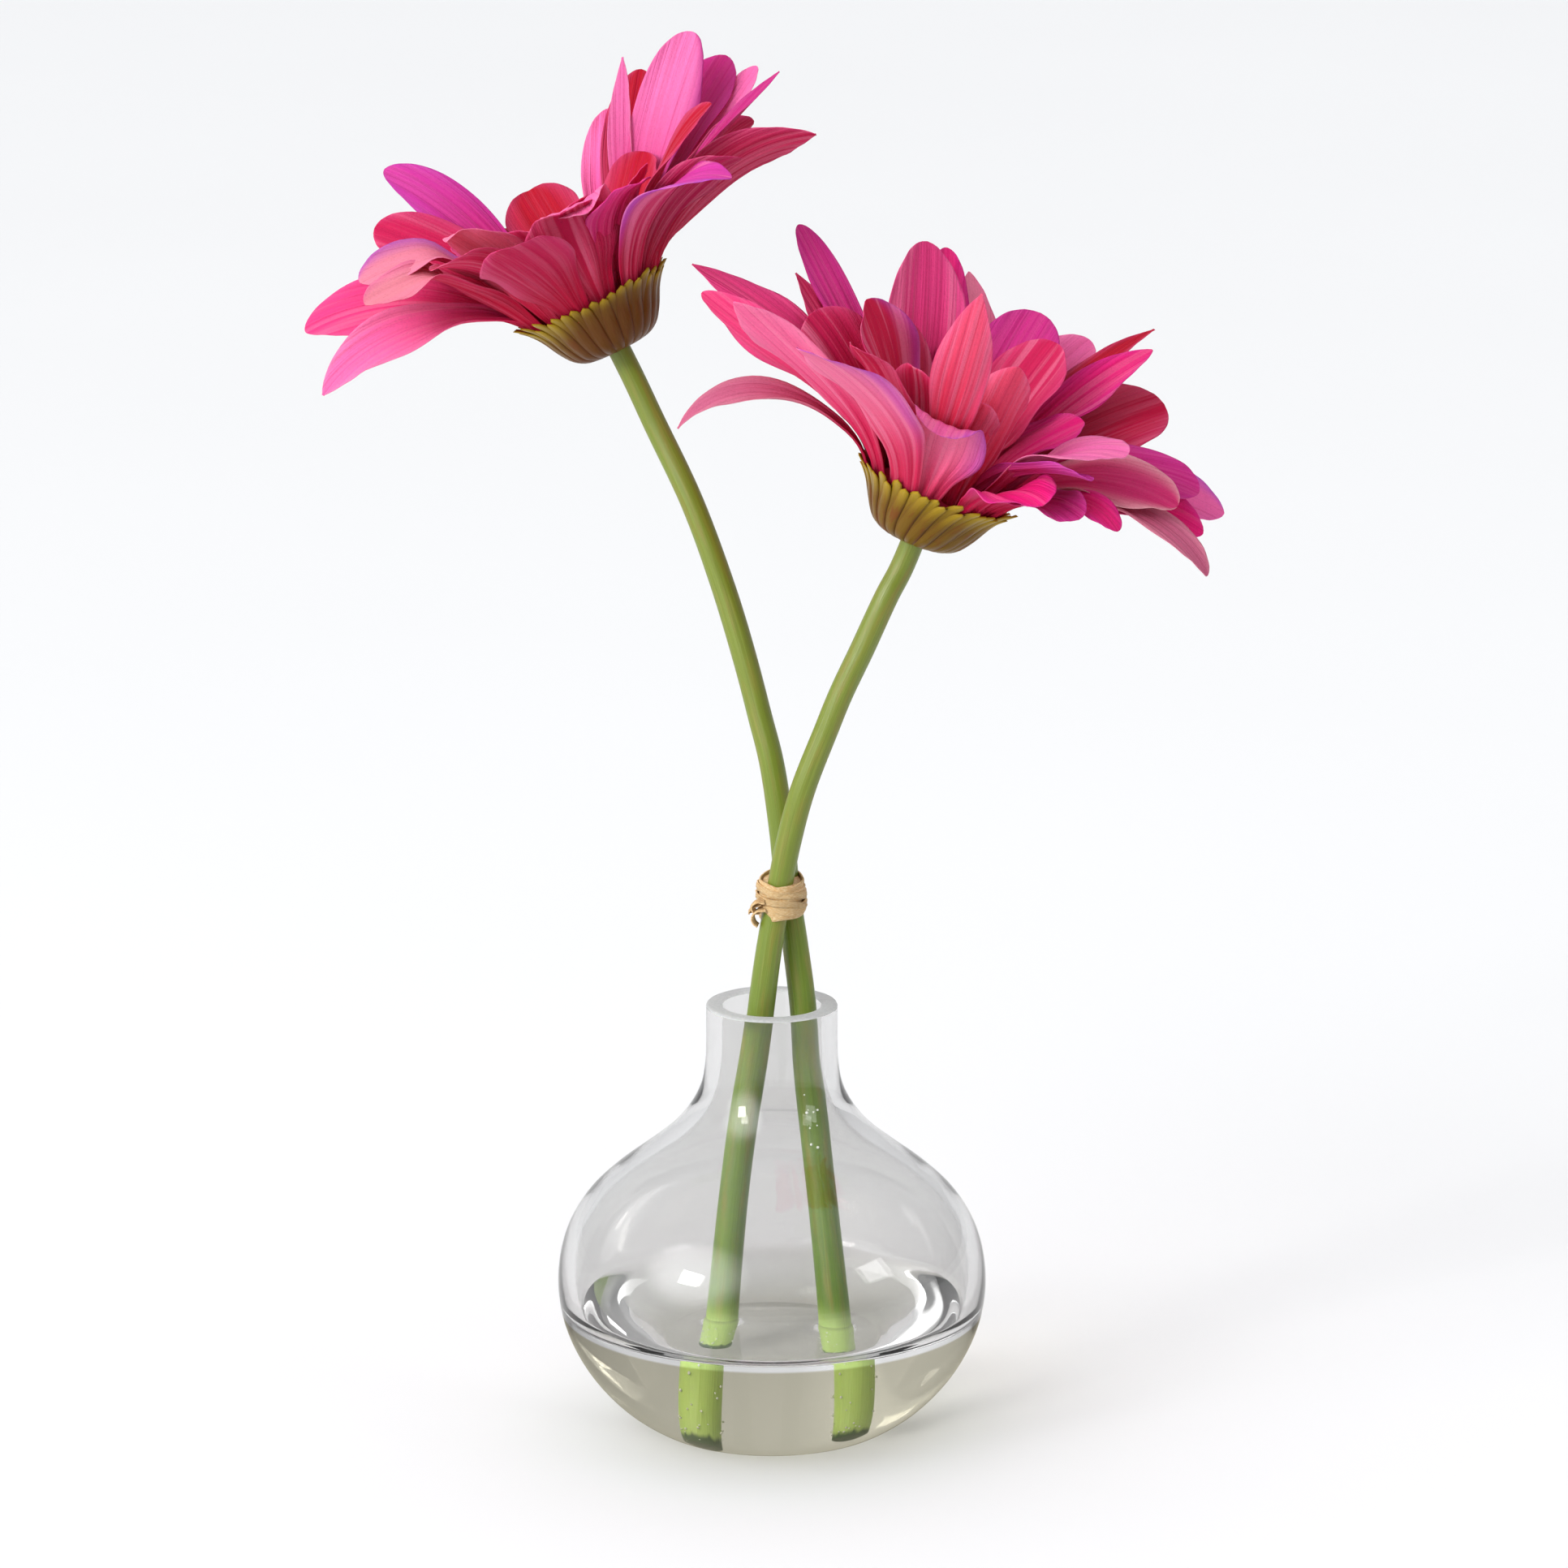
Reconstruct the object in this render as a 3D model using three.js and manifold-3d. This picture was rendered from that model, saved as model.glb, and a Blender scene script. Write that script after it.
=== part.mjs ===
// Two gerbera daisies in a glass bud vase: fabric blooms on moulded stems, tied with raffia, set in resin.
// Millimetres, +Z up. The origin is the centre of the vase's flat base, and the front faces -Y.
import * as THREE from "three";
import { mergeVertices } from "three/addons/utils/BufferGeometryUtils.js";
import Module from "manifold-3d";

const wasm = await Module();
wasm.setup();

// Driving dimensions
const FIT_GAP = 0.3; // clearance between touching pieces
const ROUND_SIDES = 32; // sides of the vase and the resin
const STEM_FOOT_RADIUS = 2.75;
const STEM_TOP_RADIUS = 2.35;
const STEM_SIDES = 12;
const STEM_STEPS = 16;
const PETAL_THICKNESS = 0.7;
const RESIN_LEVEL = 24;
const RIM_HEIGHT = 86.6;
const RIM_CHAMFER = 0.5;

// Vase walls as radius and height, from the base up
const VASE_OUTSIDE = [
  [21.6, 0], [24.3, 1], [31, 5.7], [37.4, 13.2], [41.4, 21.9], [42.5, 30.5], [41, 39], [37.2, 46],
  [31.7, 51.5], [25.5, 56.3], [20.1, 60.8], [16.4, 65.2], [14, 70], [13.1, 75], [12.95, 80],
];
const VASE_INSIDE = [
  [17, 4.4], [26, 7.4], [33.6, 14.5], [37.9, 22.5], [39.3, 30.5], [38, 38.4], [34.2, 45],
  [28.8, 50.2], [22.6, 55], [17, 59.6], [13.2, 64.2], [11, 69.4], [10, 74.8], [9.8, 80],
];

// Blooms: rim is the centre of the calyx's mouth, and axis is the way the bloom faces
const BLOOMS = {
  left: { rim: [-35.1, 30, 222.1], axis: [-0.445, 0.088, 0.891] },
  right: { rim: [31.6, 1.5, 189.9], axis: [0.371, 0.01, 0.928] },
};

// Stem centrelines from the foot to just under the bloom; the bloom's own axis gives the last stretch
const STEM_ROUTES = {
  left: [
    [13.2, -15.4, 8.4], [12.4, -13.6, 24.8], [10.3, -9, 44.5], [6.9, -1.9, 72.6], [6.1, -0.6, 86],
    [4.6, 1.2, 98], [3.1, 3, 108.6], [1.9, 4.4, 121], [0, 6, 133.8], [-2.4, 8.5, 143], [-4.9, 11, 152.3],
    [-9.2, 15, 166.1], [-15.6, 20, 182.9], [-23.2, 26, 198],
  ],
  right: [
    [-11.2, -10.8, 7], [-9.6, -9.6, 26.5], [-6.9, -8, 53.2], [-3.3, -5.5, 77.6], [-0.8, -4.4, 97.1],
    [1.2, -3.4, 109], [3.3, -3.2, 120], [6, -3.1, 130.3], [10.6, -2.4, 142.3], [13.5, -1.8, 149.5],
    [17.6, -1, 158.2], [22.3, 0, 168.5],
  ],
};

// Calyx: a moulded cup of narrow bracts; radii and heights, from its mouth
const CALYX = {
  bracts: 23,
  depth: 11.3,
  slant: 0.35, // turn of the bracts from bottom to top, radians
  ribRelief: 0.45,
  toothHeight: 1.2,
  notch: 0.8, // how far the notch between two teeth falls back towards the wall below
  socketDepth: 5,
  outside: [[5.8, -11.3], [8.8, -9.9], [10.9, -7.2], [12.9, -3.5], [14.7, -1.2]],
  toothTip: [16.3, 0.3],
  inside: [[14.3, -0.2], [12.1, -3.2], [10.3, -6]],
};

// Where each ring of petals leaves the core: radius and height of the root, and its steepness in degrees
const RINGS = {
  outer: { radius: 10.9, height: -2.4, rootLift: 64 },
  middle: { radius: 9.2, height: -1.2, rootLift: 67 },
  inner: { radius: 7.6, height: -0.4, rootLift: 76 },
};
const CORE_SIDES = 18;
const ROOT_STAGGER = 0.4; // neighbours in a ring stand this much in front of or behind its radius
const CORE_PROFILE = [
  [0, -5.7], [9, -5.7], [10.2, -4.5], [11.9, -2.2], [10.8, -0.8], [8.8, 0.6], [0, 0.6],
];

// Petals, a row each. Columns: azimuth from the viewer's right, lift and curl of the blade, length, widest
// width, sweep sideways, roll at the root and at the tip, cup across, pointedness.
// Angles are in degrees; negative curl bends the tip back.
const PETALS = {
  left: {
    outer: [
      [8, 32, -30, 40, 13, 0, 20, 30, 22, 0],
      [24, 29, -5, 51, 13, 0, -10, -55, 22, 0.1],
      [50, 14, -20, 50, 12, 0, 0, 0, 22, 0.4],
      [74, 8, -20, 50, 12, 0, 0, 0, 22, 0.4],
      [98, 8, -20, 50, 12, 0, 0, 0, 22, 0.4],
      [122, 10, -20, 50, 12, 0, 0, 0, 22, 0.4],
      [148, 14, -20, 50, 12, 0, 0, 0, 22, 0.4],
      [178, 30, -35, 50, 14, 0, 20, 60, 24, 0.5],
      [192, 15, -45, 51, 12, 0, 20, 60, 24, 0.8],
      [210, 51, -75, 44, 15, 0, -25, 60, 26, 0.3],
      [233, 66, -50, 33, 15, 0, -10, 10, 26, 0.5],
      [254, 34, -40, 38, 17, 0, 0, 0, 24, 0.2],
      [279, 34, -50, 38, 17, 0, 0, 0, 24, 0.2],
      [310, 29, -65, 45, 15, 15, 0, 0, 24, 0.6],
      [329, 26, -35, 40, 14, 0, 20, 30, 24, 0.5],
      [346, 18, -40, 49, 14, 0, 30, 50, 22, 0.9],
    ],
    middle: [
      [22, 38, -5, 51, 12, 0, -10, -50, 22, 0.1],
      [31, 42, -5, 53, 16, 0, -20, -60, 24, 0.1],
      [40, 57, 0, 47, 7, 0, 0, -20, 34, 0.9],
      [48, 47, -5, 48, 12, 0, 0, -40, 24, 0.2],
      [58, 49, -10, 42, 14, 0, 0, -20, 34, 0.1],
      [88, 12, -20, 44, 13, 0, 0, 0, 22, 0.4],
      [110, 12, -20, 46, 13, 0, 0, 0, 22, 0.4],
      [138, 64, -30, 50, 12, 0, 10, 35, 22, 0.2],
      [160, 53, -25, 43, 14, 0, 20, 45, 24, 0.1],
      [198, 58, -75, 43, 15, 0, -25, 60, 26, 0.2],
      [228, 46, -45, 36, 14, 0, 0, 0, 26, 0.6],
      [268, 42, -45, 33, 14, 0, 0, 0, 26, 0.4],
      [304, 42, -45, 34, 14, 0, 0, 0, 26, 0.3],
      [334, 35, -30, 45, 12, 0, 0, -30, 24, 0.3],
      [352, 23, -5, 52, 7, 0, 0, -20, 30, 0.7],
    ],
    inner: [
      [24, 49, -10, 24, 16, 0, 0, -30, 30, 0.1],
      [84, 54, -10, 29, 17, 0, 0, 0, 36, 0],
      [124, 50, -15, 26, 14, 0, 0, 0, 32, 0.3],
      [160, 56, -15, 26, 13, 0, 0, 0, 32, 0.3],
      [200, 58, -15, 25, 12, 0, 0, 0, 34, 0.3],
      [244, 60, -20, 24, 12, 0, 0, 0, 34, 0.3],
      [292, 58, -20, 24, 12, 0, 0, 0, 34, 0.3],
      [340, 54, -20, 25, 12, 0, 0, 0, 34, 0.3],
    ],
  },
  right: {
    outer: [
      [0, 19, -35, 45, 13, 0, -10, -40, 22, 0.3],
      [15, 19, -30, 52, 14, 0, -10, -45, 22, 0.4],
      [36, 37, -10, 48, 18, 0, -10, -30, 22, 0],
      [62, 14, -20, 48, 12, 0, 0, 0, 22, 0.4],
      [86, 12, -20, 50, 12, 0, 0, 0, 22, 0.4],
      [110, 12, -20, 50, 12, 0, 0, 0, 22, 0.4],
      [134, 12, -20, 50, 12, 0, 0, 0, 22, 0.4],
      [154, 18, -20, 46, 12, 0, 0, 0, 22, 0.4],
      [176, 16, 0, 51, 14, 0, -20, -50, 26, 0.3],
      [182, 2, -85, 49, 8, 0, 0, 0, 18, 0.9],
      [203, 22, 0, 52, 15, 0, -10, -35, 26, 0.7],
      [240, 24, -15, 55, 19, -25, 0, -15, 24, 0.5],
      [268, 34, -45, 33, 17, 0, 0, 0, 24, 0.2],
      [290, 26, -45, 32, 15, 8, 0, 0, 22, 0.4],
      [308, 38, -45, 25, 13, 0, 0, 0, 22, 0.2],
      [330, 32, -65, 33, 9, 0, -10, -20, 22, 0],
      [348, 17, -60, 51, 10, 0, -10, -20, 24, 0.2],
    ],
    middle: [
      [2, 23, -40, 42, 15, 0, -10, -40, 24, 0.2],
      [42, 48, -15, 51, 13, 0, 0, -20, 24, 0.6],
      [52, 42, -15, 60, 6, 0, 0, 0, 24, 0.9],
      [64, 39, -15, 52, 13, 0, 0, -20, 22, 0.2],
      [74, 57, -15, 44, 17, 0, 0, 0, 22, 0.1],
      [84, 50, -5, 48, 15, 40, 0, 0, 22, 0.8],
      [108, 52, -8, 51, 12, 0, 0, 0, 22, 0.3],
      [120, 60, -8, 48, 18, 0, 0, 10, 22, 0.3],
      [150, 38, -5, 54, 10, 0, 20, 45, 24, 0],
      [156, 35, -5, 44, 9, 0, 0, 30, 24, 0.9],
      [164, 17, -15, 59, 12, 0, 0, -20, 22, 0.9],
      [172, 41, -15, 33, 17, 0, 20, 45, 26, 0.1],
      [222, 46, -30, 38, 15, 0, 0, 0, 26, 0.5],
      [253, 76, 0, 43, 12, 0, 0, 0, 26, 0.8],
      [278, 64, 0, 33, 14, 0, 0, 0, 50, 0.5],
      [325, 44, -40, 36, 14, 0, 0, -20, 24, 0.3],
      [350, 29, -35, 46, 14, 0, -10, -40, 24, 0.2],
    ],
    inner: [
      [20, 50, -10, 28, 13, 0, 0, -10, 32, 0.2],
      [56, 66, -10, 36, 16, 0, 0, 0, 30, 0.1],
      [100, 58, -15, 30, 13, 0, 0, 0, 32, 0.3],
      [140, 58, -15, 30, 13, 0, 0, 0, 32, 0.3],
      [184, 60, -15, 28, 13, 0, 0, 0, 34, 0.3],
      [226, 64, -20, 27, 13, 0, 0, 0, 34, 0.3],
      [272, 66, -20, 25, 12, 0, 0, 0, 34, 0.3],
      [320, 60, -20, 26, 12, 0, 0, 0, 34, 0.3],
    ],
  },
};
const BLADE_STEPS = 20; // integration steps along a petal
const BLADE_STATIONS = [0, 3, 8, 14, 18.2]; // of those steps, before the tip
const CLAW = 0.36; // a petal's width at its root, as a share of its widest
const WIDEST = 0.62; // where along its length a petal is widest
const CURL_START = 0.3; // where along its length a petal starts to curl
const CURL_POWER = 1.6;
const ROLL_START = 0.25; // where along its length a petal's roll is fully there
const ROOT_BLEND = 5; // how quickly the root's steepness gives way to the blade's lift
const ROOT_CUP = 1.5; // a petal's cup at its root and at its tip, as shares of the cup in its row
const TIP_CUP = 0.6;

// Disc: a dome of small florets in a spiral
const DISC = {
  radius: 6.2,
  height: 3.4,
  base: 0.9,
  sides: 18,
  dome: [[0, 0], [1, 0], [1, 0.35], [0.84, 0.72], [0.5, 0.94], [0, 1]], // shares of radius and height
  florets: 20,
  floretRadius: 0.95,
  floretHeight: 1.3,
  spread: 0.93, // how far out the florets reach, as a share of the radius
  fullness: 0.9, // less than 1 keeps the outermost florets up on the shoulder of the dome
  lean: 0.7, // how far the outermost floret leans out, radians
};

// Raffia: a flat ribbon wound round the crossing stems, with a small knot at the viewer's left
const TIE = {
  centre: [1.95, -0.3, 108.5],
  halfWidth: 4.55,
  halfDepth: 6.3,
  ribbonWidth: 3.8,
  thickness: 0.9,
  sides: 16,
  // A row for each turn: height of its middle, tilt, and thickness as a share
  turns: [[-3.1, 0.7, 0.85], [0, -0.6, 1], [3.1, 0.5, 0.7]],
  tiltTurn: 0.6, // where round the stems a turn's tilt is highest, radians
  knot: { size: [1.5, 1.9, 2], place: [-5.65, -1.6, -2.2] },
  end: { size: [0.9, 2.4, 6], lean: 0.5, place: [-6.15, -2.4, -3.6] },
};

// Materials
const paint = (colour, roughness) =>
  new THREE.MeshStandardMaterial({ color: new THREE.Color(...colour), roughness, metalness: 0 });
const clear = (colour, opacity) =>
  new THREE.MeshStandardMaterial({
    color: new THREE.Color(...colour), roughness: 0.03, metalness: 0, transparent: true, opacity,
  });
const MATERIALS = {
  glass: clear([0.86, 0.9, 0.9], 0.3),
  resin: clear([0.9, 0.93, 0.9], 0.35),
  stem: paint([0.26, 0.38, 0.06], 0.45),
  calyx: paint([0.36, 0.3, 0.03], 0.5),
  petal: paint([0.8, 0.04, 0.22], 0.75),
  disc: paint([0.42, 0.4, 0.08], 0.7),
  raffia: paint([0.74, 0.5, 0.26], 0.7),
};

const radians = (degrees) => (degrees * Math.PI) / 180;
const mix = (a, b, share) => a + (b - a) * share;
const vector = (list) => new THREE.Vector3(...list);

// Turns a closed geometry into a solid. Points that lie together become one.
function solidOf(geometry) {
  const bare = geometry.index ? geometry.toNonIndexed() : geometry.clone();
  bare.deleteAttribute("normal");
  bare.deleteAttribute("uv");
  const merged = mergeVertices(bare, 1e-4);
  return new wasm.Manifold(
    new wasm.Mesh({
      numProp: 3,
      vertProperties: merged.attributes.position.array,
      triVerts: new Uint32Array(merged.index.array),
    }),
  );
}

// Turns a solid back into a geometry, keeping its largest body.
function geometryOf(solid) {
  const largest = solid.decompose().sort((a, b) => b.volume() - a.volume())[0];
  const made = largest.getMesh();
  const points = new Float32Array(made.numVert * 3);
  for (let i = 0; i < made.numVert; i++) {
    points.set(made.vertProperties.subarray(i * made.numProp, i * made.numProp + 3), i * 3);
  }
  const geometry = new THREE.BufferGeometry();
  geometry.setAttribute("position", new THREE.BufferAttribute(points, 3));
  geometry.setIndex(new THREE.BufferAttribute(new Uint32Array(made.triVerts), 1));
  geometry.computeVertexNormals();
  return geometry;
}

// A closed geometry from rows of points that all have the same count, with a single point at each end.
function loft(first, rows, last) {
  const points = [first, ...rows.flat(), last];
  const across = rows[0].length;
  const triangles = [];
  for (let j = 0; j < across; j++) {
    const next = (j + 1) % across;
    triangles.push(0, 1 + next, 1 + j);
    for (let i = 0; i + 1 < rows.length; i++) {
      const low = 1 + i * across;
      const high = low + across;
      triangles.push(low + j, low + next, high + next, low + j, high + next, high + j);
    }
    const end = 1 + (rows.length - 1) * across;
    triangles.push(points.length - 1, end + j, end + next);
  }
  const geometry = new THREE.BufferGeometry().setFromPoints(points);
  geometry.setIndex(triangles);
  return geometry;
}

// A body of revolution about +Z. Its profile of radius and height runs anticlockwise and ends on the axis.
function revolve(profile, sides) {
  const outline = profile.map(([r, z]) => new THREE.Vector2(r, z));
  return new THREE.LatheGeometry(outline, sides).rotateX(Math.PI / 2);
}

// Vase: a thick-bottomed glass shell with a ground rim
function makeVase() {
  const outer = VASE_OUTSIDE.at(-1)[0];
  const inner = VASE_INSIDE.at(-1)[0];
  const rim = [
    [outer, RIM_HEIGHT - RIM_CHAMFER], [outer - RIM_CHAMFER, RIM_HEIGHT],
    [inner + RIM_CHAMFER, RIM_HEIGHT], [inner, RIM_HEIGHT - RIM_CHAMFER],
  ];
  const floor = VASE_INSIDE[0][1];
  return revolve([[0, 0], ...VASE_OUTSIDE, ...rim, ...VASE_INSIDE.toReversed(), [0, floor]], ROUND_SIDES);
}

// Resin: fills the bottom of the vase, with a plain hole for each stem
function makeResin(stems) {
  const above = VASE_INSIDE.findIndex(([, z]) => z > RESIN_LEVEL);
  const [[lowRadius, low], [highRadius, high]] = VASE_INSIDE.slice(above - 1, above + 1);
  const level = [mix(lowRadius, highRadius, (RESIN_LEVEL - low) / (high - low)), RESIN_LEVEL - FIT_GAP];
  const wall = [...VASE_INSIDE.slice(0, above), level].map(([r, z]) => [r - FIT_GAP, z + FIT_GAP]);
  const profile = [[0, wall[0][1]], ...wall, [0, RESIN_LEVEL]];
  const body = solidOf(revolve(profile, ROUND_SIDES));
  return stems.reduce((left, stem) => left.subtract(stem), body);
}

// Stems: round rods along a smooth curve, whose tops plug into the calyx along the bloom's axis
function stemCurve(side) {
  const { rim, axis } = BLOOMS[side];
  const along = (distance) => vector(rim).addScaledVector(vector(axis).normalize(), distance);
  const top = CALYX.socketDepth - CALYX.depth - FIT_GAP;
  const points = [...STEM_ROUTES[side].map(vector), along(-CALYX.depth - 6), along(top)];
  return new THREE.CatmullRomCurve3(points, false, "centripetal");
}

// A stem, or with a clearance the hole that it stands in
function makeStem(side, clearance = 0) {
  const curve = stemCurve(side);
  const { normals, binormals, tangents } = curve.computeFrenetFrames(STEM_STEPS, false);
  const centres = normals.map((_, i) => curve.getPointAt(i / STEM_STEPS));
  centres[0].addScaledVector(tangents[0], -clearance);
  const rows = centres.map((centre, i) => {
    const radius = mix(STEM_FOOT_RADIUS, STEM_TOP_RADIUS, i / STEM_STEPS) + clearance;
    return Array.from({ length: STEM_SIDES }, (_, k) => {
      const turn = (2 * Math.PI * k) / STEM_SIDES;
      return centre
        .clone()
        .addScaledVector(normals[i], radius * Math.cos(turn))
        .addScaledVector(binormals[i], radius * Math.sin(turn));
    });
  });
  return loft(centres[0], rows, centres[STEM_STEPS]);
}

// Calyx: a revolved cup, ribbed outside and toothed at its mouth, one rib and tooth to each bract
function makeCalyx() {
  const { depth, socketDepth, outside, toothTip, inside, bracts } = CALYX;
  const socketRadius = STEM_TOP_RADIUS + FIT_GAP;
  const socketTop = socketDepth - depth;
  const socket = [[0, socketTop], [socketRadius, socketTop], [socketRadius, -depth]];
  const profile = [...socket, ...outside, toothTip, ...inside, [0, inside.at(-1)[1]]];
  const geometry = revolve(profile, bracts * 2);
  const position = geometry.attributes.position;
  const foot = socket.length;
  const tip = foot + outside.length;
  for (let i = 0; i < position.count; i++) {
    const ring = i % profile.length;
    const bract = Math.floor(i / profile.length) % (bracts * 2);
    const onCrest = bract % 2 === 0;
    const [radius, height] = profile[ring];
    const onRib = ring > foot && ring <= tip + 1;
    const turn = (onRib ? CALYX.slant * (height / depth + 1) : 0) + (bract * Math.PI) / bracts;
    let out = radius;
    let up = height;
    if (onRib && ring < tip) out += onCrest ? CALYX.ribRelief : -CALYX.ribRelief / 2;
    if (ring === tip && !onCrest) out = mix(radius, profile[ring - 1][0], CALYX.notch);
    if (ring === tip) up += onCrest ? CALYX.toothHeight / 2 : -CALYX.toothHeight / 2;
    position.setXYZ(i, out * Math.cos(turn), out * Math.sin(turn), up);
  }
  return geometry;
}

// The outline of a petal: its half width as a share of the widest, at a share of its length
function outlineShare(share, pointed) {
  if (share < WIDEST) {
    const rise = share / WIDEST;
    return mix(CLAW, 1, rise * rise * (3 - 2 * rise));
  }
  const fall = (share - WIDEST) / (1 - WIDEST);
  return mix(Math.sqrt(1 - fall ** 2.6), 1 - fall ** 1.7, pointed);
}

// Walks along a petal's spine and returns, for each step, its point, face normal, side direction and cup.
function petalSpine(ring, index, [azimuth, lift, curl, length, , sweep, rootRoll, tipRoll, cup]) {
  const { radius, height, rootLift } = RINGS[ring];
  const start = radians(azimuth);
  const root = radius + (index % 2 ? ROOT_STAGGER : -ROOT_STAGGER);
  const point = new THREE.Vector3(root * Math.cos(start), root * Math.sin(start), height);
  const frames = [];
  for (let step = 0; step <= BLADE_STEPS; step++) {
    const share = step / BLADE_STEPS;
    const bend = Math.max(0, (share - CURL_START) / (1 - CURL_START));
    const rise = radians(mix(lift, rootLift, (1 - share) ** ROOT_BLEND) + curl * bend ** CURL_POWER);
    const heading = radians(azimuth + sweep * share);
    const turned = mix(rootRoll, tipRoll, share * share * (3 - 2 * share));
    const roll = radians(turned * Math.min(1, share / ROLL_START));
    const forward = new THREE.Vector3(
      Math.cos(rise) * Math.cos(heading), Math.cos(rise) * Math.sin(heading), Math.sin(rise),
    );
    const flat = new THREE.Vector3(-Math.sin(heading), Math.cos(heading), 0);
    const face = new THREE.Vector3().crossVectors(forward, flat);
    frames.push({
      point: point.clone(),
      face: face.clone().multiplyScalar(Math.cos(roll)).addScaledVector(flat, Math.sin(roll)),
      side: flat.clone().multiplyScalar(Math.cos(roll)).addScaledVector(face, -Math.sin(roll)),
      cup: radians(cup) * mix(ROOT_CUP, TIP_CUP, share),
    });
    point.addScaledVector(forward, length / BLADE_STEPS);
  }
  return frames;
}

// A petal blade: a thin arched solid, six points round each station and one at each end
function makePetal(ring, index, row) {
  const frames = petalSpine(ring, index, row);
  const width = row[4];
  const pointed = row[9];
  const at = ({ point, face, side }, across, up) =>
    point.clone().addScaledVector(side, across).addScaledVector(face, up);
  const rows = BLADE_STATIONS.map((station) => {
    const low = frames[Math.floor(station)];
    const high = frames[Math.min(BLADE_STEPS, Math.floor(station) + 1)];
    const frame = { ...low, point: low.point.clone().lerp(high.point, station % 1) };
    const half = (width / 2) * outlineShare(station / BLADE_STEPS, pointed);
    const out = (half * Math.sin(frame.cup)) / frame.cup;
    const edge = (half * (1 - Math.cos(frame.cup))) / frame.cup;
    const skin = PETAL_THICKNESS / 2;
    return [
      at(frame, 0, -skin), at(frame, out, edge - skin), at(frame, out, edge + skin),
      at(frame, 0, skin), at(frame, -out, edge + skin), at(frame, -out, edge - skin),
    ];
  });
  return loft(frames[0].point, rows, frames[BLADE_STEPS].point);
}

// All the petals of a bloom, fused to the core that they stand out of
function makePetals(side) {
  const solids = [solidOf(revolve(CORE_PROFILE, CORE_SIDES))];
  for (const [ring, rows] of Object.entries(PETALS[side])) {
    rows.forEach((row, index) => solids.push(solidOf(makePetal(ring, index, row))));
  }
  return geometryOf(wasm.Manifold.union(solids));
}

// Disc: a dome with cone-shaped florets placed on a sunflower spiral
function makeDisc() {
  const body = DISC.dome.map(([r, z]) => [r * DISC.radius, DISC.base + z * DISC.height]);
  const solids = [solidOf(revolve(body, DISC.sides))];
  const goldenAngle = Math.PI * (3 - Math.sqrt(5));
  for (let i = 0; i < DISC.florets; i++) {
    const out = Math.sqrt((i + 0.5) / DISC.florets) * DISC.spread;
    const x = out * Math.cos(i * goldenAngle);
    const y = out * Math.sin(i * goldenAngle);
    const z = DISC.base + DISC.height * Math.sqrt(1 - (out * DISC.fullness) ** 2);
    const floret = new THREE.ConeGeometry(DISC.floretRadius, DISC.floretHeight * 2, 4);
    floret.rotateX(Math.PI / 2 - y * DISC.lean);
    floret.rotateY(x * DISC.lean);
    floret.translate(x * DISC.radius, y * DISC.radius, z);
    solids.push(solidOf(floret));
  }
  return geometryOf(wasm.Manifold.union(solids));
}

// Tie: oval turns of ribbon pressed onto the stems and onto each other, the knot and its short end
function makeTie(stems) {
  const oval = (grow, z, tilt) =>
    Array.from({ length: TIE.sides }, (_, k) => {
      const turn = (2 * Math.PI * k) / TIE.sides;
      const x = (TIE.halfWidth + grow) * Math.cos(turn);
      const y = (TIE.halfDepth + grow) * Math.sin(turn);
      return new THREE.Vector3(x, y, z + tilt * Math.cos(turn + TIE.tiltTurn));
    });
  const ribbons = TIE.turns.map(([middle, tilt, share]) => {
    const low = middle - TIE.ribbonWidth / 2;
    const high = middle + TIE.ribbonWidth / 2;
    const grow = TIE.thickness * share;
    const outside = [oval(grow, low, tilt), oval(grow, high, tilt)];
    const inside = [oval(0, high, tilt), oval(0, low, tilt)];
    return ringLoft([...outside, ...inside]);
  });
  const knot = new THREE.SphereGeometry(1, 10, 8).scale(...TIE.knot.size).translate(...TIE.knot.place);
  const end = new THREE.BoxGeometry(...TIE.end.size).rotateY(TIE.end.lean).translate(...TIE.end.place);
  const whole = wasm.Manifold.union([...ribbons, knot, end].map(solidOf)).translate(TIE.centre);
  return geometryOf(stems.reduce((left, stem) => left.subtract(stem), whole));
}

// A closed geometry from loops of points that close on themselves, such as a ring's section carried round
function ringLoft(loops) {
  const points = loops.flat();
  const around = loops[0].length;
  const triangles = [];
  loops.forEach((_, i) => {
    const low = i * around;
    const high = ((i + 1) % loops.length) * around;
    for (let k = 0; k < around; k++) {
      const next = (k + 1) % around;
      triangles.push(low + k, low + next, high + next, low + k, high + next, high + k);
    }
  });
  const geometry = new THREE.BufferGeometry().setFromPoints(points);
  geometry.setIndex(triangles);
  return geometry;
}

function mesh(name, geometry, material) {
  const made = new THREE.Mesh(geometry, MATERIALS[material]);
  made.name = name;
  return made;
}

// A group whose origin is the calyx's mouth, +Z the bloom's axis and +X the viewer's right
function bloomGroup(side) {
  const axis = vector(BLOOMS[side].axis).normalize();
  const right = new THREE.Vector3(1, 0, 0).addScaledVector(axis, -axis.x).normalize();
  const away = new THREE.Vector3().crossVectors(axis, right);
  const group = new THREE.Group();
  group.setRotationFromMatrix(new THREE.Matrix4().makeBasis(right, away, axis));
  group.position.copy(vector(BLOOMS[side].rim));
  group.add(mesh(`calyx_${side}`, makeCalyx(), "calyx"));
  group.add(mesh(`petals_${side}`, makePetals(side), "petal"));
  group.add(mesh(`disc_${side}`, makeDisc(), "disc"));
  return group;
}

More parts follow.
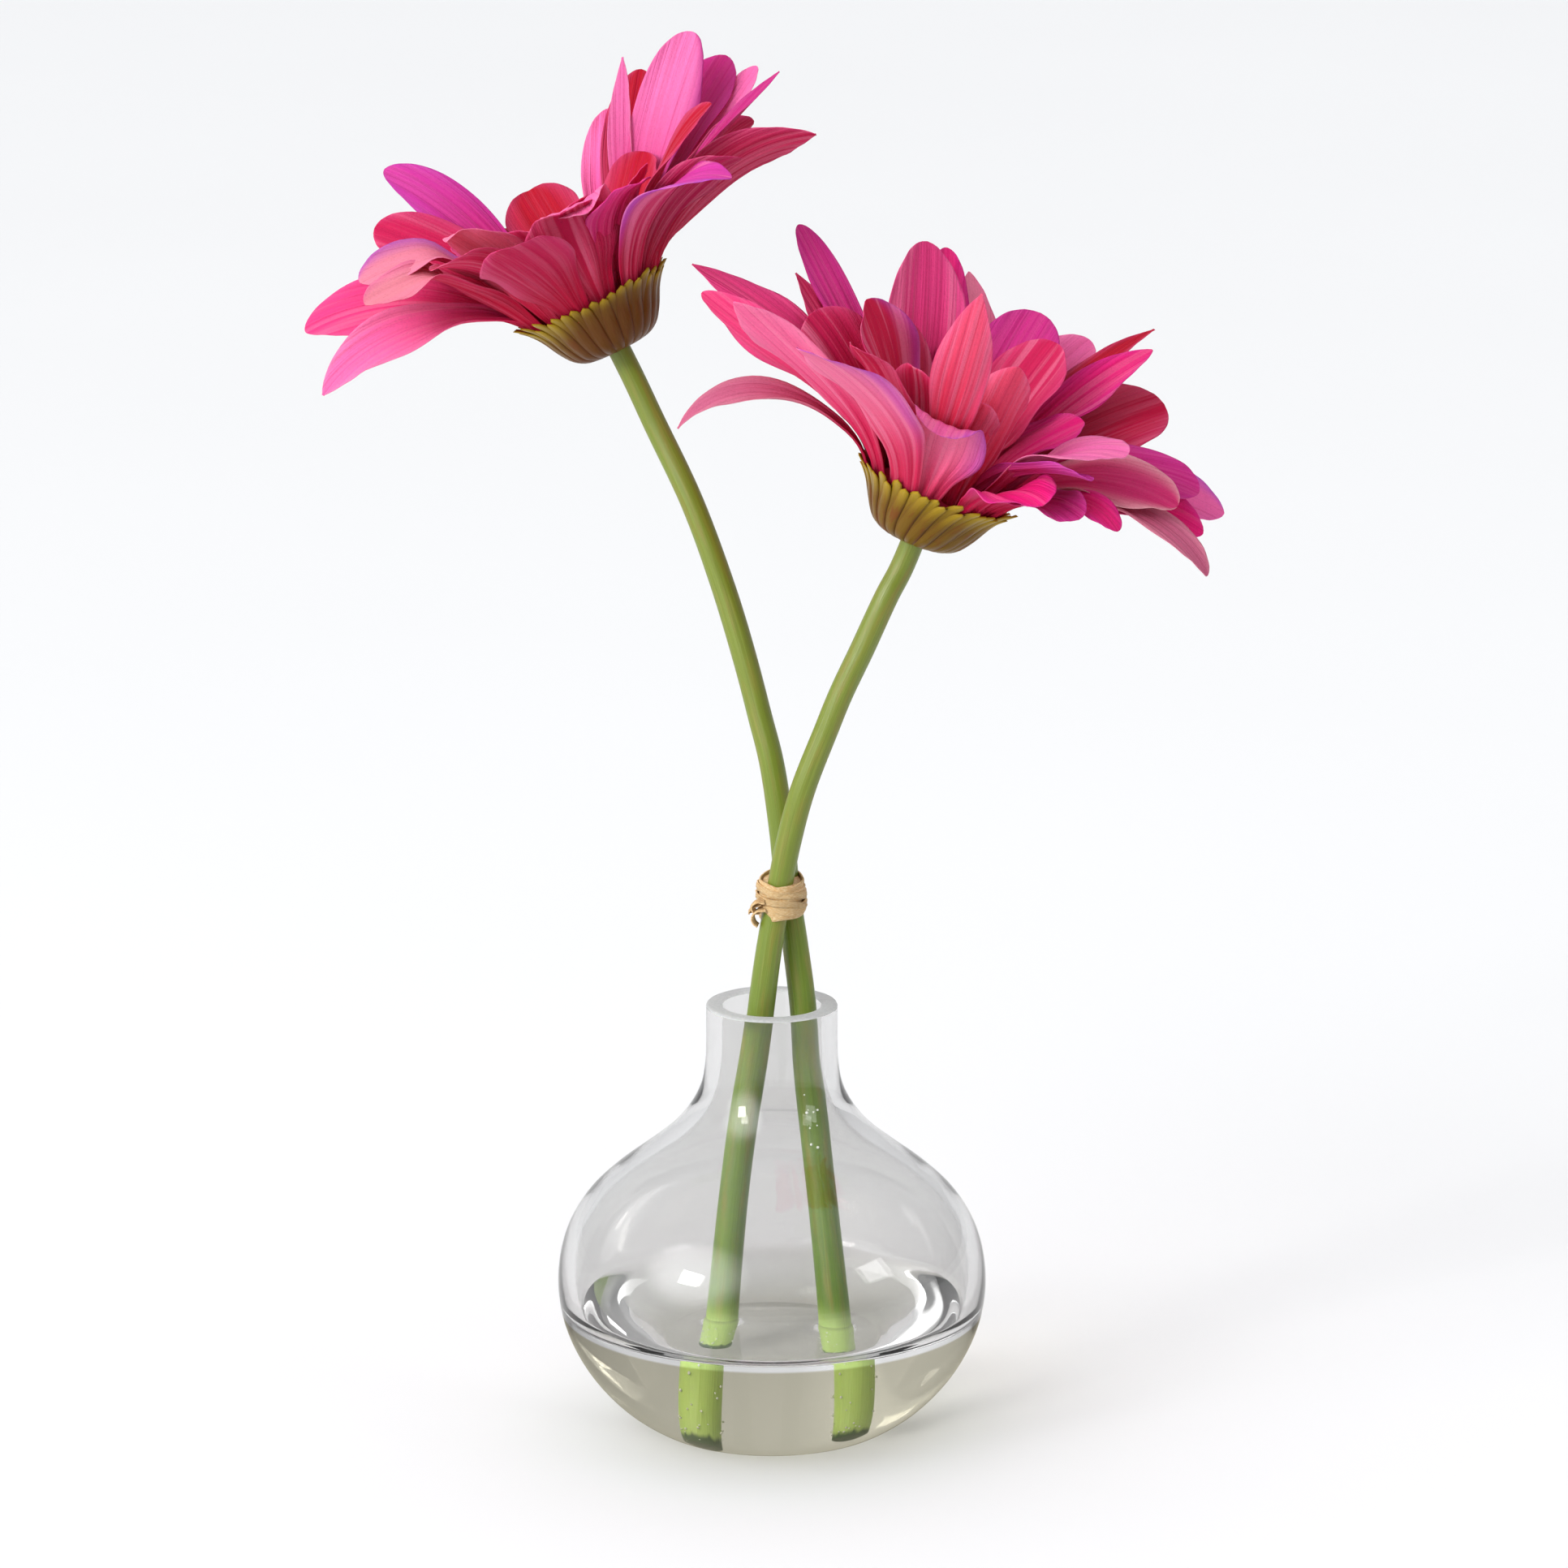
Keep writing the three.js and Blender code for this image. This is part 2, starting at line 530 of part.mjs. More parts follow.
const arrangement = new THREE.Group();
arrangement.name = "gerberas_in_vase";
const sides = Object.keys(BLOOMS);
const stemHoles = sides.map((side) => solidOf(makeStem(side, FIT_GAP)));
arrangement.add(mesh("vase", makeVase(), "glass"));
arrangement.add(mesh("resin", geometryOf(makeResin(stemHoles)), "resin"));
for (const side of sides) {
  arrangement.add(mesh(`stem_${side}`, makeStem(side), "stem"));
  arrangement.add(bloomGroup(side));
}
arrangement.add(mesh("raffia_tie", makeTie(stemHoles), "raffia"));

export default arrangement;
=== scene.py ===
import math
import random
from collections import namedtuple

import bpy
import numpy as np
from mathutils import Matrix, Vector


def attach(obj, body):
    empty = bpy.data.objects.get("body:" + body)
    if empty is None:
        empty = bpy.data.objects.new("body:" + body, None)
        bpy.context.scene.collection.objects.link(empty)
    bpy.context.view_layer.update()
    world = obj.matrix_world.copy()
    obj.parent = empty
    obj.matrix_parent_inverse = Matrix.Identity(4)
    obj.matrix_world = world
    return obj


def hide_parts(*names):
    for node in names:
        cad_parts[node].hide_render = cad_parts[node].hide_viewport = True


# Two artificial gerberas in a glass bud vase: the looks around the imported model.
# Tables are in millimetres and degrees, as the part is drawn, and meshes are made in metres.
# The origin is the centre of the vase's flat base, +Z is up and the viewer of the photo is at -Y.
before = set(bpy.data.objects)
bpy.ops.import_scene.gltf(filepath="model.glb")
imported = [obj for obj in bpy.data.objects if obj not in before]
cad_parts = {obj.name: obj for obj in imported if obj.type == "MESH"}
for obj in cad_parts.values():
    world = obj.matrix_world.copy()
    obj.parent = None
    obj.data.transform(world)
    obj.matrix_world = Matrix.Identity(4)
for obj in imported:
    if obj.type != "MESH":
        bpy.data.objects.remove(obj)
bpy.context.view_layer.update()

MM = 0.001
DRAW = random.Random(7)
FULL_TURN = 2 * math.pi
GOLDEN_ANGLE = math.pi * (3 - math.sqrt(5))

# Vase walls as radius and height, from the base up
VASE_OUTSIDE = [
    (21.6, 0), (24.3, 1), (31, 5.7), (37.4, 13.2), (41.4, 21.9), (42.5, 30.5), (41, 39), (37.2, 46),
    (31.7, 51.5), (25.5, 56.3), (20.1, 60.8), (16.4, 65.2), (14, 70), (13.1, 75), (12.95, 80),
]
VASE_INSIDE = [
    (17, 4.4), (26, 7.4), (33.6, 14.5), (37.9, 22.5), (39.3, 30.5), (38, 38.4), (34.2, 45),
    (28.8, 50.2), (22.6, 55), (17, 59.6), (13.2, 64.2), (11, 69.4), (10, 74.8), (9.8, 80),
]
VASE_SIDES = 216
WALL_STEPS = 5  # rows of points between two rows of a wall
BASE_FLAT = 20.8  # radius of the row of points just inside the base's corner
RIM_HEIGHT = 86.6
RIM_CHAMFER = 0.5
RIM_ROUNDING = 0.15  # how far inside the sharp corner the middle of the chamfer lies
CORNER = 0.12  # how near a corner the next row of points lies
RESIN_LEVEL = 24
RESIN_RINGS = 110
MENISCUS = 1.1  # how far the resin climbs at the glass
MENISCUS_REACH = 1.3
COLLAR = 0.55  # how far it climbs at a stem
COLLAR_REACH = 1.6

# Blooms: rim is the centre of the calyx's mouth, axis is the way the bloom faces, and slant is how far
# its bracts lean round, in radians
BLOOMS = {
    "left": {"rim": (-35.1, 30, 222.1), "axis": (-0.445, 0.088, 0.891), "slant": 0.08},
    "right": {"rim": (31.6, 1.5, 189.9), "axis": (0.371, 0.01, 0.928), "slant": 0.35},
}

# Stem centrelines from the foot to just under the bloom
STEM_ROUTES = {
    "left": [
        (13.2, -15.4, 8.4), (12.4, -13.6, 24.8), (10.3, -9, 44.5), (6.9, -1.9, 72.6), (6.1, -0.6, 86),
        (4.6, 1.2, 98), (3.1, 3, 108.6), (1.9, 4.4, 121), (0, 6, 133.8), (-2.4, 8.5, 143), (-4.9, 11, 152.3),
        (-9.2, 15, 166.1), (-15.6, 20, 182.9), (-23.2, 26, 198),
    ],
    "right": [
        (-11.2, -10.8, 7), (-9.6, -9.6, 26.5), (-6.9, -8, 53.2), (-3.3, -5.5, 77.6), (-0.8, -4.4, 97.1),
        (1.2, -3.4, 109), (3.3, -3.2, 120), (6, -3.1, 130.3), (10.6, -2.4, 142.3), (13.5, -1.8, 149.5),
        (17.6, -1, 158.2), (22.3, 0, 168.5),
    ],
}
STEM_RADII = [(3.3, 7), (3.2, 24), (2.85, 50), (2.65, 80), (2.5, 110), (2.3, 200)]  # radius and height
STEM_SIDES = 32
STEM_SPAN_STEPS = 8  # rings between two points of a route
SOCKET_GAP = 0.3  # between a stem's end and the top of its socket
FOOT_ROUNDING = 0.86  # radius of a stem's end face, as a share of the stem's
FOOT_DROP = 0.25  # how far the rim of the end face and its middle lie beyond the centreline
FOOT_MIDDLE = 0.3

# Bubbles on the stems' feet, on the left stem below the neck, and under the resin's surface
BUBBLE_SIZES = (0.13, 0.26)
FOOT_BUBBLES = 24
HIGH_BUBBLES = 9
HIGH_BUBBLE_SIZES = (0.12, 0.3)
HIGH_BUBBLE_HEIGHTS = (56, 70)
SURFACE_BUBBLES = 20
SURFACE_BUBBLE_RADII = (4, 32)  # how far from the vase's axis they lie

# Calyx: radii and heights from its mouth
CALYX_DEPTH = 11.3
CALYX_SOCKET = 5
SOCKET_RADIUS = 2.5
CALYX_WALL = [(2.9, -11), (5.8, -11.3), (8.8, -9.9), (10.9, -7.2), (12.9, -3.5), (14.7, -1.2), (15.9, -0.1)]
CALYX_INSIDE = [(14.3, -0.9), (11.9, -3.2), (10.1, -6), (0, -6)]
CUP_INSET = 0.55  # how far the plain cup lies behind the line of its bracts
CUP_SIDES = 96
BRACTS = 23
BRACT_LAYERS = [(0.34, 0.07), (0, 0)]  # how deep a layer lies, and how much longer its bracts are
BRACT_ROWS = 20
BRACT_COLUMNS = 9
BRACT_WIDTH = 0.62  # half width at the foot, and what the taper takes off, as shares of the spacing
BRACT_TAPER = 0.29
BRACT_TIP = 0.72  # where along a bract its rounded tip starts
BRACT_CROWN = 0.34
BRACT_THICKNESS = 0.4

# Where each ring of petals leaves the core: radius and height of the root, its steepness, and how far
# the blade is pushed out there
RINGS = {
    "outer": {"radius": 10.9, "height": -2.4, "root_lift": 64, "spread": 1.9},
    "middle": {"radius": 9.2, "height": -1.2, "root_lift": 67, "spread": 1.6},
    "inner": {"radius": 7.6, "height": -0.4, "root_lift": 76, "spread": 1},
}
ROOT_STAGGER = 0.4
CORE = [(0, -5.7), (9, -5.7), (10.2, -4.5), (11.9, -2.2), (10.8, -0.8), (8.8, 0.6), (0, 0.6)]
CORE_SIDES = 48

# Petals, a row each: azimuth from the viewer's right, lift and curl of the blade, length, widest width,
# cup across, pointedness, strength of its stripes and dye, and for some petals the roll at the root and
# at the tip, the sweep sideways, then where the tip folds and by how much
Petal = namedtuple(
    "Petal",
    "azimuth lift curl length width cup pointed stripes dye roll_root roll_tip sweep fold_at fold",
    defaults=(0, 0, 0, 1, 0),
)
PETALS = {}
PETALS["left", "outer"] = [
    (8, 32, -30, 40, 13, 22, 0, 0.2, "wine", 20, 30),
    (24, 29, -5, 51, 9, 22, 0.1, 0.05, "orchid", -10, -25),
    (50, 14, -20, 50, 12, 22, 0.4, 0.3, "pink"),
    (74, 8, -20, 50, 12, 22, 0.4, 0.3, "pale"),
    (98, 8, -20, 50, 12, 22, 0.4, 0.3, "pink"),
    (122, 10, -20, 50, 12, 22, 0.4, 0.3, "magenta"),
    (148, 14, -20, 50, 12, 22, 0.4, 0.3, "pink"),
    (178, 30, -35, 50, 14, 24, 0.5, 0.5, "pink", 20, 60),
    (192, 15, -45, 51, 12, 24, 0.8, 0.4, "pale", 20, 60),
    (208, 46, -15, 43, 12, 26, 0.3, 0.3, "peach", -20, 40, 0, 0.6, -36),
    (232, 60, -20, 35, 15, 26, 0.8, 0.5, "cream", -10, 0, 0, 0.85, -60),
    (254, 37, -15, 34, 19, 24, 0.8, 0.25, "wine"),
    (277, 58, -15, 27, 20, 24, 0.2, 0.5, "wine", 0, 0, 0, 0.88, -50),
    (310, 29, -65, 45, 15, 24, 0.6, 0.7, "plum", 0, 0, 15),
    (329, 26, -35, 40, 14, 24, 0.5, 0.4, "dark", 20, 30),
    (346, 18, -40, 49, 14, 22, 0.9, 0.6, "wine", 30, 50),
]
PETALS["left", "middle"] = [
    (30, 32, -5, 53, 15, 22, 0.1, 0.1, "dusk", -10, -40),
    # This petal's dye paints shade in dark purple along its edge of lesser azimuth.
    (24, 46, -5, 52, 14, 24, 0.1, 0.1, "iris_painted_shade", -20, -50),
    (40, 57, 0, 47, 7, 34, 0.9, 0.1, "orchid", 0, -20),
    (48, 47, -5, 48, 12, 24, 0.2, 0.1, "red", 0, -40),
    (58, 49, -10, 42, 12, 34, 0.1, 0.15, "orchid", 0, -20),
    (88, 12, -20, 44, 13, 22, 0.4, 0.3, "pale"),
    (110, 12, -20, 46, 13, 22, 0.4, 0.3, "pink"),
    (138, 64, -30, 50, 10, 22, 0.2, 0.15, "lilac", 10, 35),
    (160, 50, -10, 42, 14, 24, 0.1, 0.3, "wine", 20, 45),
    (197, 54, -18, 43.5, 13, 26, 0.2, 0.3, "mauve", -15, 40, 0, 0.58, -38),
    (228, 46, -45, 36, 14, 26, 0.6, 0.5, "red"),
    (287, 62, -10, 29, 17, 26, 0.4, 0.2, "pale", 0, 0, 0, 0.72, -80),
    (304, 42, -45, 34, 14, 26, 0.3, 0.4, "magenta"),
    (334, 41, -30, 43, 9, 24, 0.3, 0.2, "red", 0, -30),
    (352, 23, -5, 52, 7, 30, 0.7, 0.2, "dusk", 0, -20),
]
PETALS["left", "inner"] = [
    (24, 50, -10, 27, 16, 30, 0.1, 0.05, "red", 0, -30),
    (98, 55, -10, 29, 16, 36, 0, 0.05, "red"),
    (124, 50, -15, 26, 14, 32, 0.3, 0.2, "red"),
    (160, 56, -15, 26, 13, 32, 0.3, 0.2, "pink"),
    (200, 58, -15, 25, 12, 34, 0.3, 0.4, "red"),
    (244, 60, -20, 24, 12, 34, 0.3, 0.4, "pink"),
    (292, 58, -20, 24, 12, 34, 0.3, 0.4, "red"),
    (340, 54, -20, 25, 12, 34, 0.3, 0.3, "pink"),
]
PETALS["right", "outer"] = [
    (0, 19, -35, 46, 13, 22, 0.3, 0.2, "magenta", -10, -40),
    (15, 19, -30, 52, 14, 22, 0.4, 0.1, "shell", -10, -45),
    (36, 37, -10, 48, 18, 22, 0, 0.25, "dark", -10, -30),
    (62, 14, -20, 48, 12, 22, 0.4, 0.3, "pink"),
    (86, 12, -20, 50, 12, 22, 0.4, 0.3, "magenta"),
    (110, 12, -20, 50, 12, 22, 0.4, 0.3, "pale"),
    (134, 12, -20, 50, 12, 22, 0.4, 0.3, "pink"),
    (154, 18, -20, 46, 12, 22, 0.4, 0.3, "pink"),
    (176, 16, 0, 51, 14, 26, 0.3, 0.4, "pink", -20, -50),
    (182, 4, -85, 49, 6.5, 18, 0.9, 0.1, "dusty", 10, 40),
    (203, 22, 0, 52, 15, 26, 0.7, 0.8, "pale", -10, -35),
    (240, 25, -15, 54, 20, 24, 0.5, 0.8, "shell", 0, -15, -25),
    (258, 60, -15, 25, 18, 24, 0.2, 0.6, "shell", 0, 0, 0, 0.8, -95),
    (300, 34, -45, 26, 16, 22, 0.4, 0.3, "magenta", 0, -35, 8),
    (318, 28, -40, 28, 13, 22, 0.2, 0.2, "dusk", 0, -30),
    (330, 32, -65, 33, 9, 22, 0, 0.1, "magenta", -10, -20),
    (348, 17, -60, 51, 10, 24, 0.2, 0.2, "dusty", -10, -20),
]
PETALS["right", "middle"] = [
    (350, 28, -40, 42, 15, 24, 0.2, 0.1, "faded", -10, -40),
    (42, 49, -15, 51, 9, 24, 0.6, 0.4, "magenta", 0, -20),
    (52, 42, -15, 60, 6, 24, 0.9, 0, "red"),
    (64, 39, -15, 52, 13, 22, 0.2, 0.1, "pale", 0, -20),
    (74, 57, -15, 44, 17, 22, 0.1, 0.1, "dusk"),
    (84, 50, -5, 48, 15, 22, 0.8, 0.3, "cream", 0, 0, 40),
    (108, 52, -8, 51, 12, 22, 0.3, 0.1, "magenta"),
    (120, 60, -8, 48, 18, 22, 0.3, 0.6, "pink", 0, 10),
    (150, 38, -5, 54, 7.5, 24, 0, 0.2, "dusk", 20, 45),
    (156, 35, -5, 44, 9, 24, 0.9, 0.2, "wine", 0, 30),
    (164, 18, -15, 59, 11, 22, 0.9, 0.3, "pink", 0, 35),
    (178, 42, -15, 35, 20, 26, 0.1, 0.8, "wine", 20, 45),
    (222, 46, -30, 38, 15, 26, 0.5, 0.6, "red"),
    (257, 53, 0, 55, 11.5, 26, 0.95, 0.6, "coral"),
    (288, 80, 0, 32, 15, 50, 0.6, 0.8, "coral"),
    (325, 50, -45, 37, 19, 24, 0.3, 0.5, "orchid", 0, -20),
    (2, 28, -35, 46, 14, 24, 0.2, 0.2, "dusk", -10, -40),
]
PETALS["right", "inner"] = [
    (20, 50, -10, 28, 13, 32, 0.2, 0.2, "magenta", 0, -10),
    (56, 66, -10, 36, 16, 30, 0.1, 0.6, "wine"),
    (100, 58, -15, 30, 13, 32, 0.3, 0.3, "magenta"),
    (152, 60, -15, 33, 18, 32, 0.3, 0.7, "red", 0, 15),
    (173, 58, -15, 35, 20, 34, 0.3, 0.7, "garnet", 0, 30),
    (226, 66, -20, 26, 16, 34, 0.3, 0.9, "red"),
    (272, 66, -20, 25, 12, 34, 0.3, 0.6, "coral"),
    (314, 30, -25, 34, 11, 34, 0.3, 0.1, "lilac"),
]
# Dyes of a petal's upper face at root and tip, then of its underside at root and tip
DYES = {
    "pink": ((0.72, 0.008, 0.09), (0.87, 0.058, 0.26), (0.66, 0.008, 0.07), (0.88, 0.05, 0.21)),
    "pale": ((0.86, 0.03, 0.2), (0.97, 0.17, 0.46), (0.8, 0.02, 0.12), (0.95, 0.16, 0.37)),
    "cream": ((0.78, 0.02, 0.13), (0.95, 0.26, 0.42), (0.62, 0.006, 0.05), (0.92, 0.18, 0.29)),
    "peach": ((0.8, 0.02, 0.1), (0.95, 0.3, 0.39), (0.6, 0.005, 0.045), (0.72, 0.009, 0.065)),
    "mauve": ((0.8, 0.03, 0.16), (0.95, 0.3, 0.42), (0.6, 0.005, 0.045), (0.7, 0.012, 0.08)),
    "plum": ((0.7, 0.008, 0.14), (0.66, 0.04, 0.36), (0.58, 0.006, 0.07), (0.74, 0.03, 0.19)),
    "wine": ((0.58, 0.006, 0.05), (0.64, 0.016, 0.1), (0.5, 0.006, 0.045), (0.58, 0.012, 0.085)),
    "shell": ((0.84, 0.03, 0.18), (0.92, 0.16, 0.46), (0.88, 0.05, 0.17), (0.98, 0.22, 0.42)),
    "lilac": ((0.72, 0.01, 0.18), (0.7, 0.04, 0.38), (0.68, 0.014, 0.14), (0.7, 0.05, 0.34)),
    "red": ((0.42, 0.004, 0.012), (0.54, 0.007, 0.028), (0.6, 0.005, 0.035), (0.82, 0.025, 0.12)),
    "coral": ((0.82, 0.01, 0.06), (0.94, 0.05, 0.19), (0.82, 0.01, 0.06), (0.96, 0.1, 0.21)),
    "magenta": ((0.7, 0.005, 0.08), (0.86, 0.012, 0.21), (0.62, 0.007, 0.07), (0.78, 0.035, 0.22)),
    "orchid": ((0.8, 0.03, 0.24), (0.94, 0.18, 0.48), (0.78, 0.03, 0.2), (0.96, 0.34, 0.6)),
    "iris_painted_shade": ((0.8, 0.03, 0.24), (0.95, 0.21, 0.52), (0.78, 0.03, 0.2), (0.96, 0.34, 0.6)),
    "faded": ((0.7, 0.008, 0.1), (0.74, 0.035, 0.19), (0.68, 0.008, 0.09), (0.76, 0.05, 0.2)),
    "garnet": ((0.5, 0.004, 0.02), (0.66, 0.012, 0.07), (0.6, 0.01, 0.05), (0.8, 0.07, 0.22)),
    "dusk": ((0.62, 0.006, 0.07), (0.64, 0.03, 0.25), (0.58, 0.006, 0.06), (0.66, 0.03, 0.18)),
    "dusty": ((0.66, 0.03, 0.12), (0.72, 0.17, 0.31), (0.6, 0.02, 0.1), (0.8, 0.22, 0.36)),
    "dark": ((0.32, 0.003, 0.012), (0.48, 0.004, 0.045), (0.34, 0.003, 0.03), (0.52, 0.012, 0.1)),
}
LILAC = (0.5, 0.09, 0.58)
ROSE = (0.93, 0.16, 0.44)
BLUSH = (0.94, 0.36, 0.56)
FADED = (0.86, 0.42, 0.48)
# Painted shade: a dark purple for the shaded edge of a petal turned from the light.
PAINTED_SHADE_PURPLE = (0.4, 0.02, 0.2)
# The colour of a petal's edges, and how far it shows on the edge of lesser azimuth and on the other
PLAIN_EDGE = (ROSE, 0.3, 0.3)
EDGES = {
    "pale": (BLUSH, 0.35, 0.35), "peach": (ROSE, 0.5, 0.2), "mauve": (LILAC, 0.8, 0.1),
    "plum": (LILAC, 0.9, 0.1), "wine": (ROSE, 0.3, 0.2), "shell": (LILAC, 0.1, 0.75),
    "lilac": (LILAC, 0.3, 0.3), "magenta": (LILAC, 0.2, 0.2), "orchid": (BLUSH, 0.2, 0.2),
    # The iris dye's edge is painted shade: dark purple on its edge of lesser azimuth.
    "iris_painted_shade": (PAINTED_SHADE_PURPLE, 0.95, 0.1), "faded": (FADED, 0.9, 0.8), "garnet": (LILAC, 0.6, 0.1),
    "dusk": (LILAC, 0.12, 0.12), "dusty": (FADED, 0.3, 0.3), "dark": (ROSE, 0.2, 0.1),
}
EDGE_TINT = 0.6  # how much of the half width the edge's colour spreads over
SPINE_STEPS = 60
FOLD_SPAN = 0.12
BLADE_ROWS = 34
BLADE_COLUMNS = 28
CLAW = 0.36  # a petal's width at its root, as a share of its widest
WIDEST = 0.62  # where along its length a petal is widest
CURL_START = 0.3
CURL_POWER = 1.6
ROLL_START = 0.25
ROOT_BLEND = 5
ROOT_CUP = 1.5
TIP_CUP = 0.6
BLADE_THICKNESS = 0.4
EDGE_THICKNESS = 0.2
LEAST_HALF_WIDTH = 0.25
GROOVES = 6.5  # lengthwise grooves across a petal
GROOVE_DEPTH = 0.16
PLEATS = 3.4  # broader folds, which fade towards the tip
PLEAT_DEPTH = 0.38
RUFFLE = 0.7

# Disc: a dome of small florets in a spiral
DISC_RADIUS = 6.2
DISC_HEIGHT = 3.4
DISC_BASE = 0.9
DOME_FOOT = 0.35  # height of the dome's straight side, as a share of the disc's
DOME_RISE = 0.6
DOME_SIDES = 36
FLORETS = 150
FLORET_SIDES = 7
FLORET_ROWS = [(-0.4, 0.9), (0.2, 1), (0.6, 1.15), (0.9, 0.9), (1, 0.45)]  # share of its height, and girth

# Raffia, about the centre of the tie
TIE_CENTRE = (1.95, -0.3, 108.5)
TIE_HALF_WIDTH = 4.25
TIE_HALF_DEPTH = 6.3
# What fills the tie, with radii as shares of its half width and half depth
TIE_FILLING = [(0, -2.9), (0.85, -2.9), (0.97, -2.3), (0.97, 2.5), (0.85, 3.3), (0, 3.4)]
FILLING_SIDES = 32
# Turns of the ribbon: height, tilt, the tilt's phase in radians, how far out, half width
WRAPS = [
    (-2.5, 0.3, 0.4, 0, 1.2), (-1.1, -0.5, 0.9, 0.3, 1), (0.6, 0.7, 0.2, 0.15, 1.1),
    (2.4, -0.4, 1.6, 0.05, 1.3), (1.4, -0.9, -0.5, 0.45, 0.7), (-0.5, 0.9, 2.6, 0.5, 0.6),
]
WRAP_STEPS = 96
# Routes of its loose ends
RAFFIA_ENDS = [
    [(-3.4, -4.6, 0.2), (-4.7, -4.7, 0.3), (-5.7, -4.5, -0.7), (-5.3, -4.4, -2), (-4.2, -4.5, -2.2)],
    [(-3.2, -4.8, -1.4), (-4.7, -4.9, -1.7), (-5.6, -4.7, -2.9), (-5.4, -4.6, -4.1), (-4.7, -4.6, -4.9)],
    [(-4, -3.8, -0.6), (-5.4, -3.8, -1.1), (-6.2, -3.8, -1.9), (-6.3, -3.8, -2.6)],
]
RIBBON_COLUMNS = 7
WRAP_SKIN = 0.16  # half the thickness of a turn, and of a loose end
END_SKIN = 0.14

# Floor in metres, a hair under the vase so that the two faces don't meet
FLOOR_HALF = 8
FLOOR_DROP = 0.0002

# Camera, which looks down at the group through a long lens
CAMERA_DROP = 13.8
CAMERA_DISTANCE = 1390
CAMERA_AIM = (2.4, 0, 131)
CAMERA_LENS = 163.2
SENSOR = 36

# Light: places in metres. The surround's strength is SURROUND, with a slope along each axis.
KEY_FROM = (-1.4, -1.2, 1.05)
KEY_GLOW = 4.2  # peak strength of the bright patch of surround round the key light
FILL_FROM = (1.5, -0.7, 0.95)
LIT_POINT = (0, 0, 0.15)
SURROUND = 0.6
SURROUND_SLOPES = (-0.2, 0.24, 0.34)
GLOW_EDGE = 0.84  # cosine of the angle from the key light at which its bright patch ends


def add_object(name, data):
    made = bpy.data.objects.new(name, data)
    bpy.context.scene.collection.objects.link(made)
    return made


class Shape:
    """Points, faces and point values of a piece, in millimetres."""

    def __init__(self):
        self.points = []
        self.faces = []
        self.values = {}
        self.count = 0

    def add(self, points, faces, **values):
        points = np.asarray(points, float).reshape(-1, 3)
        self.faces += [tuple(self.count + i for i in face) for face in faces]
        self.points.append(points)
        for key, value in values.items():
            value = np.asarray(value, float).reshape(len(points), -1)
            self.values.setdefault(key, []).append(value)
        self.count += len(points)

    def tube(self, rows, ends, **values):
        """Adds loops joined in turn, closed by a fan to the first of two end points and one to the last."""
        sides = len(rows[0])
        faces = loop_faces(len(rows), sides)
        first = len(rows) * sides
        top = first - sides
        for k in range(sides):
            n = (k + 1) % sides
            faces.append((first, n, k))
            faces.append((first + 1, top + k, top + n))
        self.add(np.vstack([*rows, *ends]), faces, **values)

    def lathe(self, profile, sides, **constants):
        """Adds a revolved profile of radius and height, which starts and ends on the axis."""
        rows = revolve(profile[1:-1], sides)
        count = len(rows) * sides + 2
        values = {key: np.tile(value, (count, 1)) for key, value in constants.items()}
        self.tube(rows, [(0, 0, profile[0][1]), (0, 0, profile[-1][1])], **values)

    def make(self, name, material, slot, *nodes, bloom=None, trim=None):
        """Makes the piece, which stands for the CAD nodes named.

        bloom is the side of the bloom in whose own axes it is drawn, and trim is a second material and
        its faces.
        """
        points = np.concatenate(self.points)
        if bloom:
            axes, rim = bloom_frame(bloom)
            points = points @ axes + rim
        mesh = bpy.data.meshes.new(name)
        mesh.from_pydata((points * MM).tolist(), [], self.faces)
        mesh.polygons.foreach_set("use_smooth", [True] * len(self.faces))
        kinds = {1: ("FLOAT", "value"), 3: ("FLOAT_VECTOR", "vector"), 4: ("FLOAT_COLOR", "color")}
        for key, parts in self.values.items():
            values = np.concatenate(parts).astype(np.float32)
            kind, field = kinds[values.shape[1]]
            mesh.attributes.new(key, kind, "POINT").data.foreach_set(field, values.ravel())
        mesh.materials.append(material)
        if trim:
            mesh.materials.append(trim[0])
            for face in trim[1]:
                mesh.polygons[face].material_index = 1
        mesh.update()
        piece = add_object(name, mesh)
        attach(piece, "root")
        if nodes:
            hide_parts(*nodes)


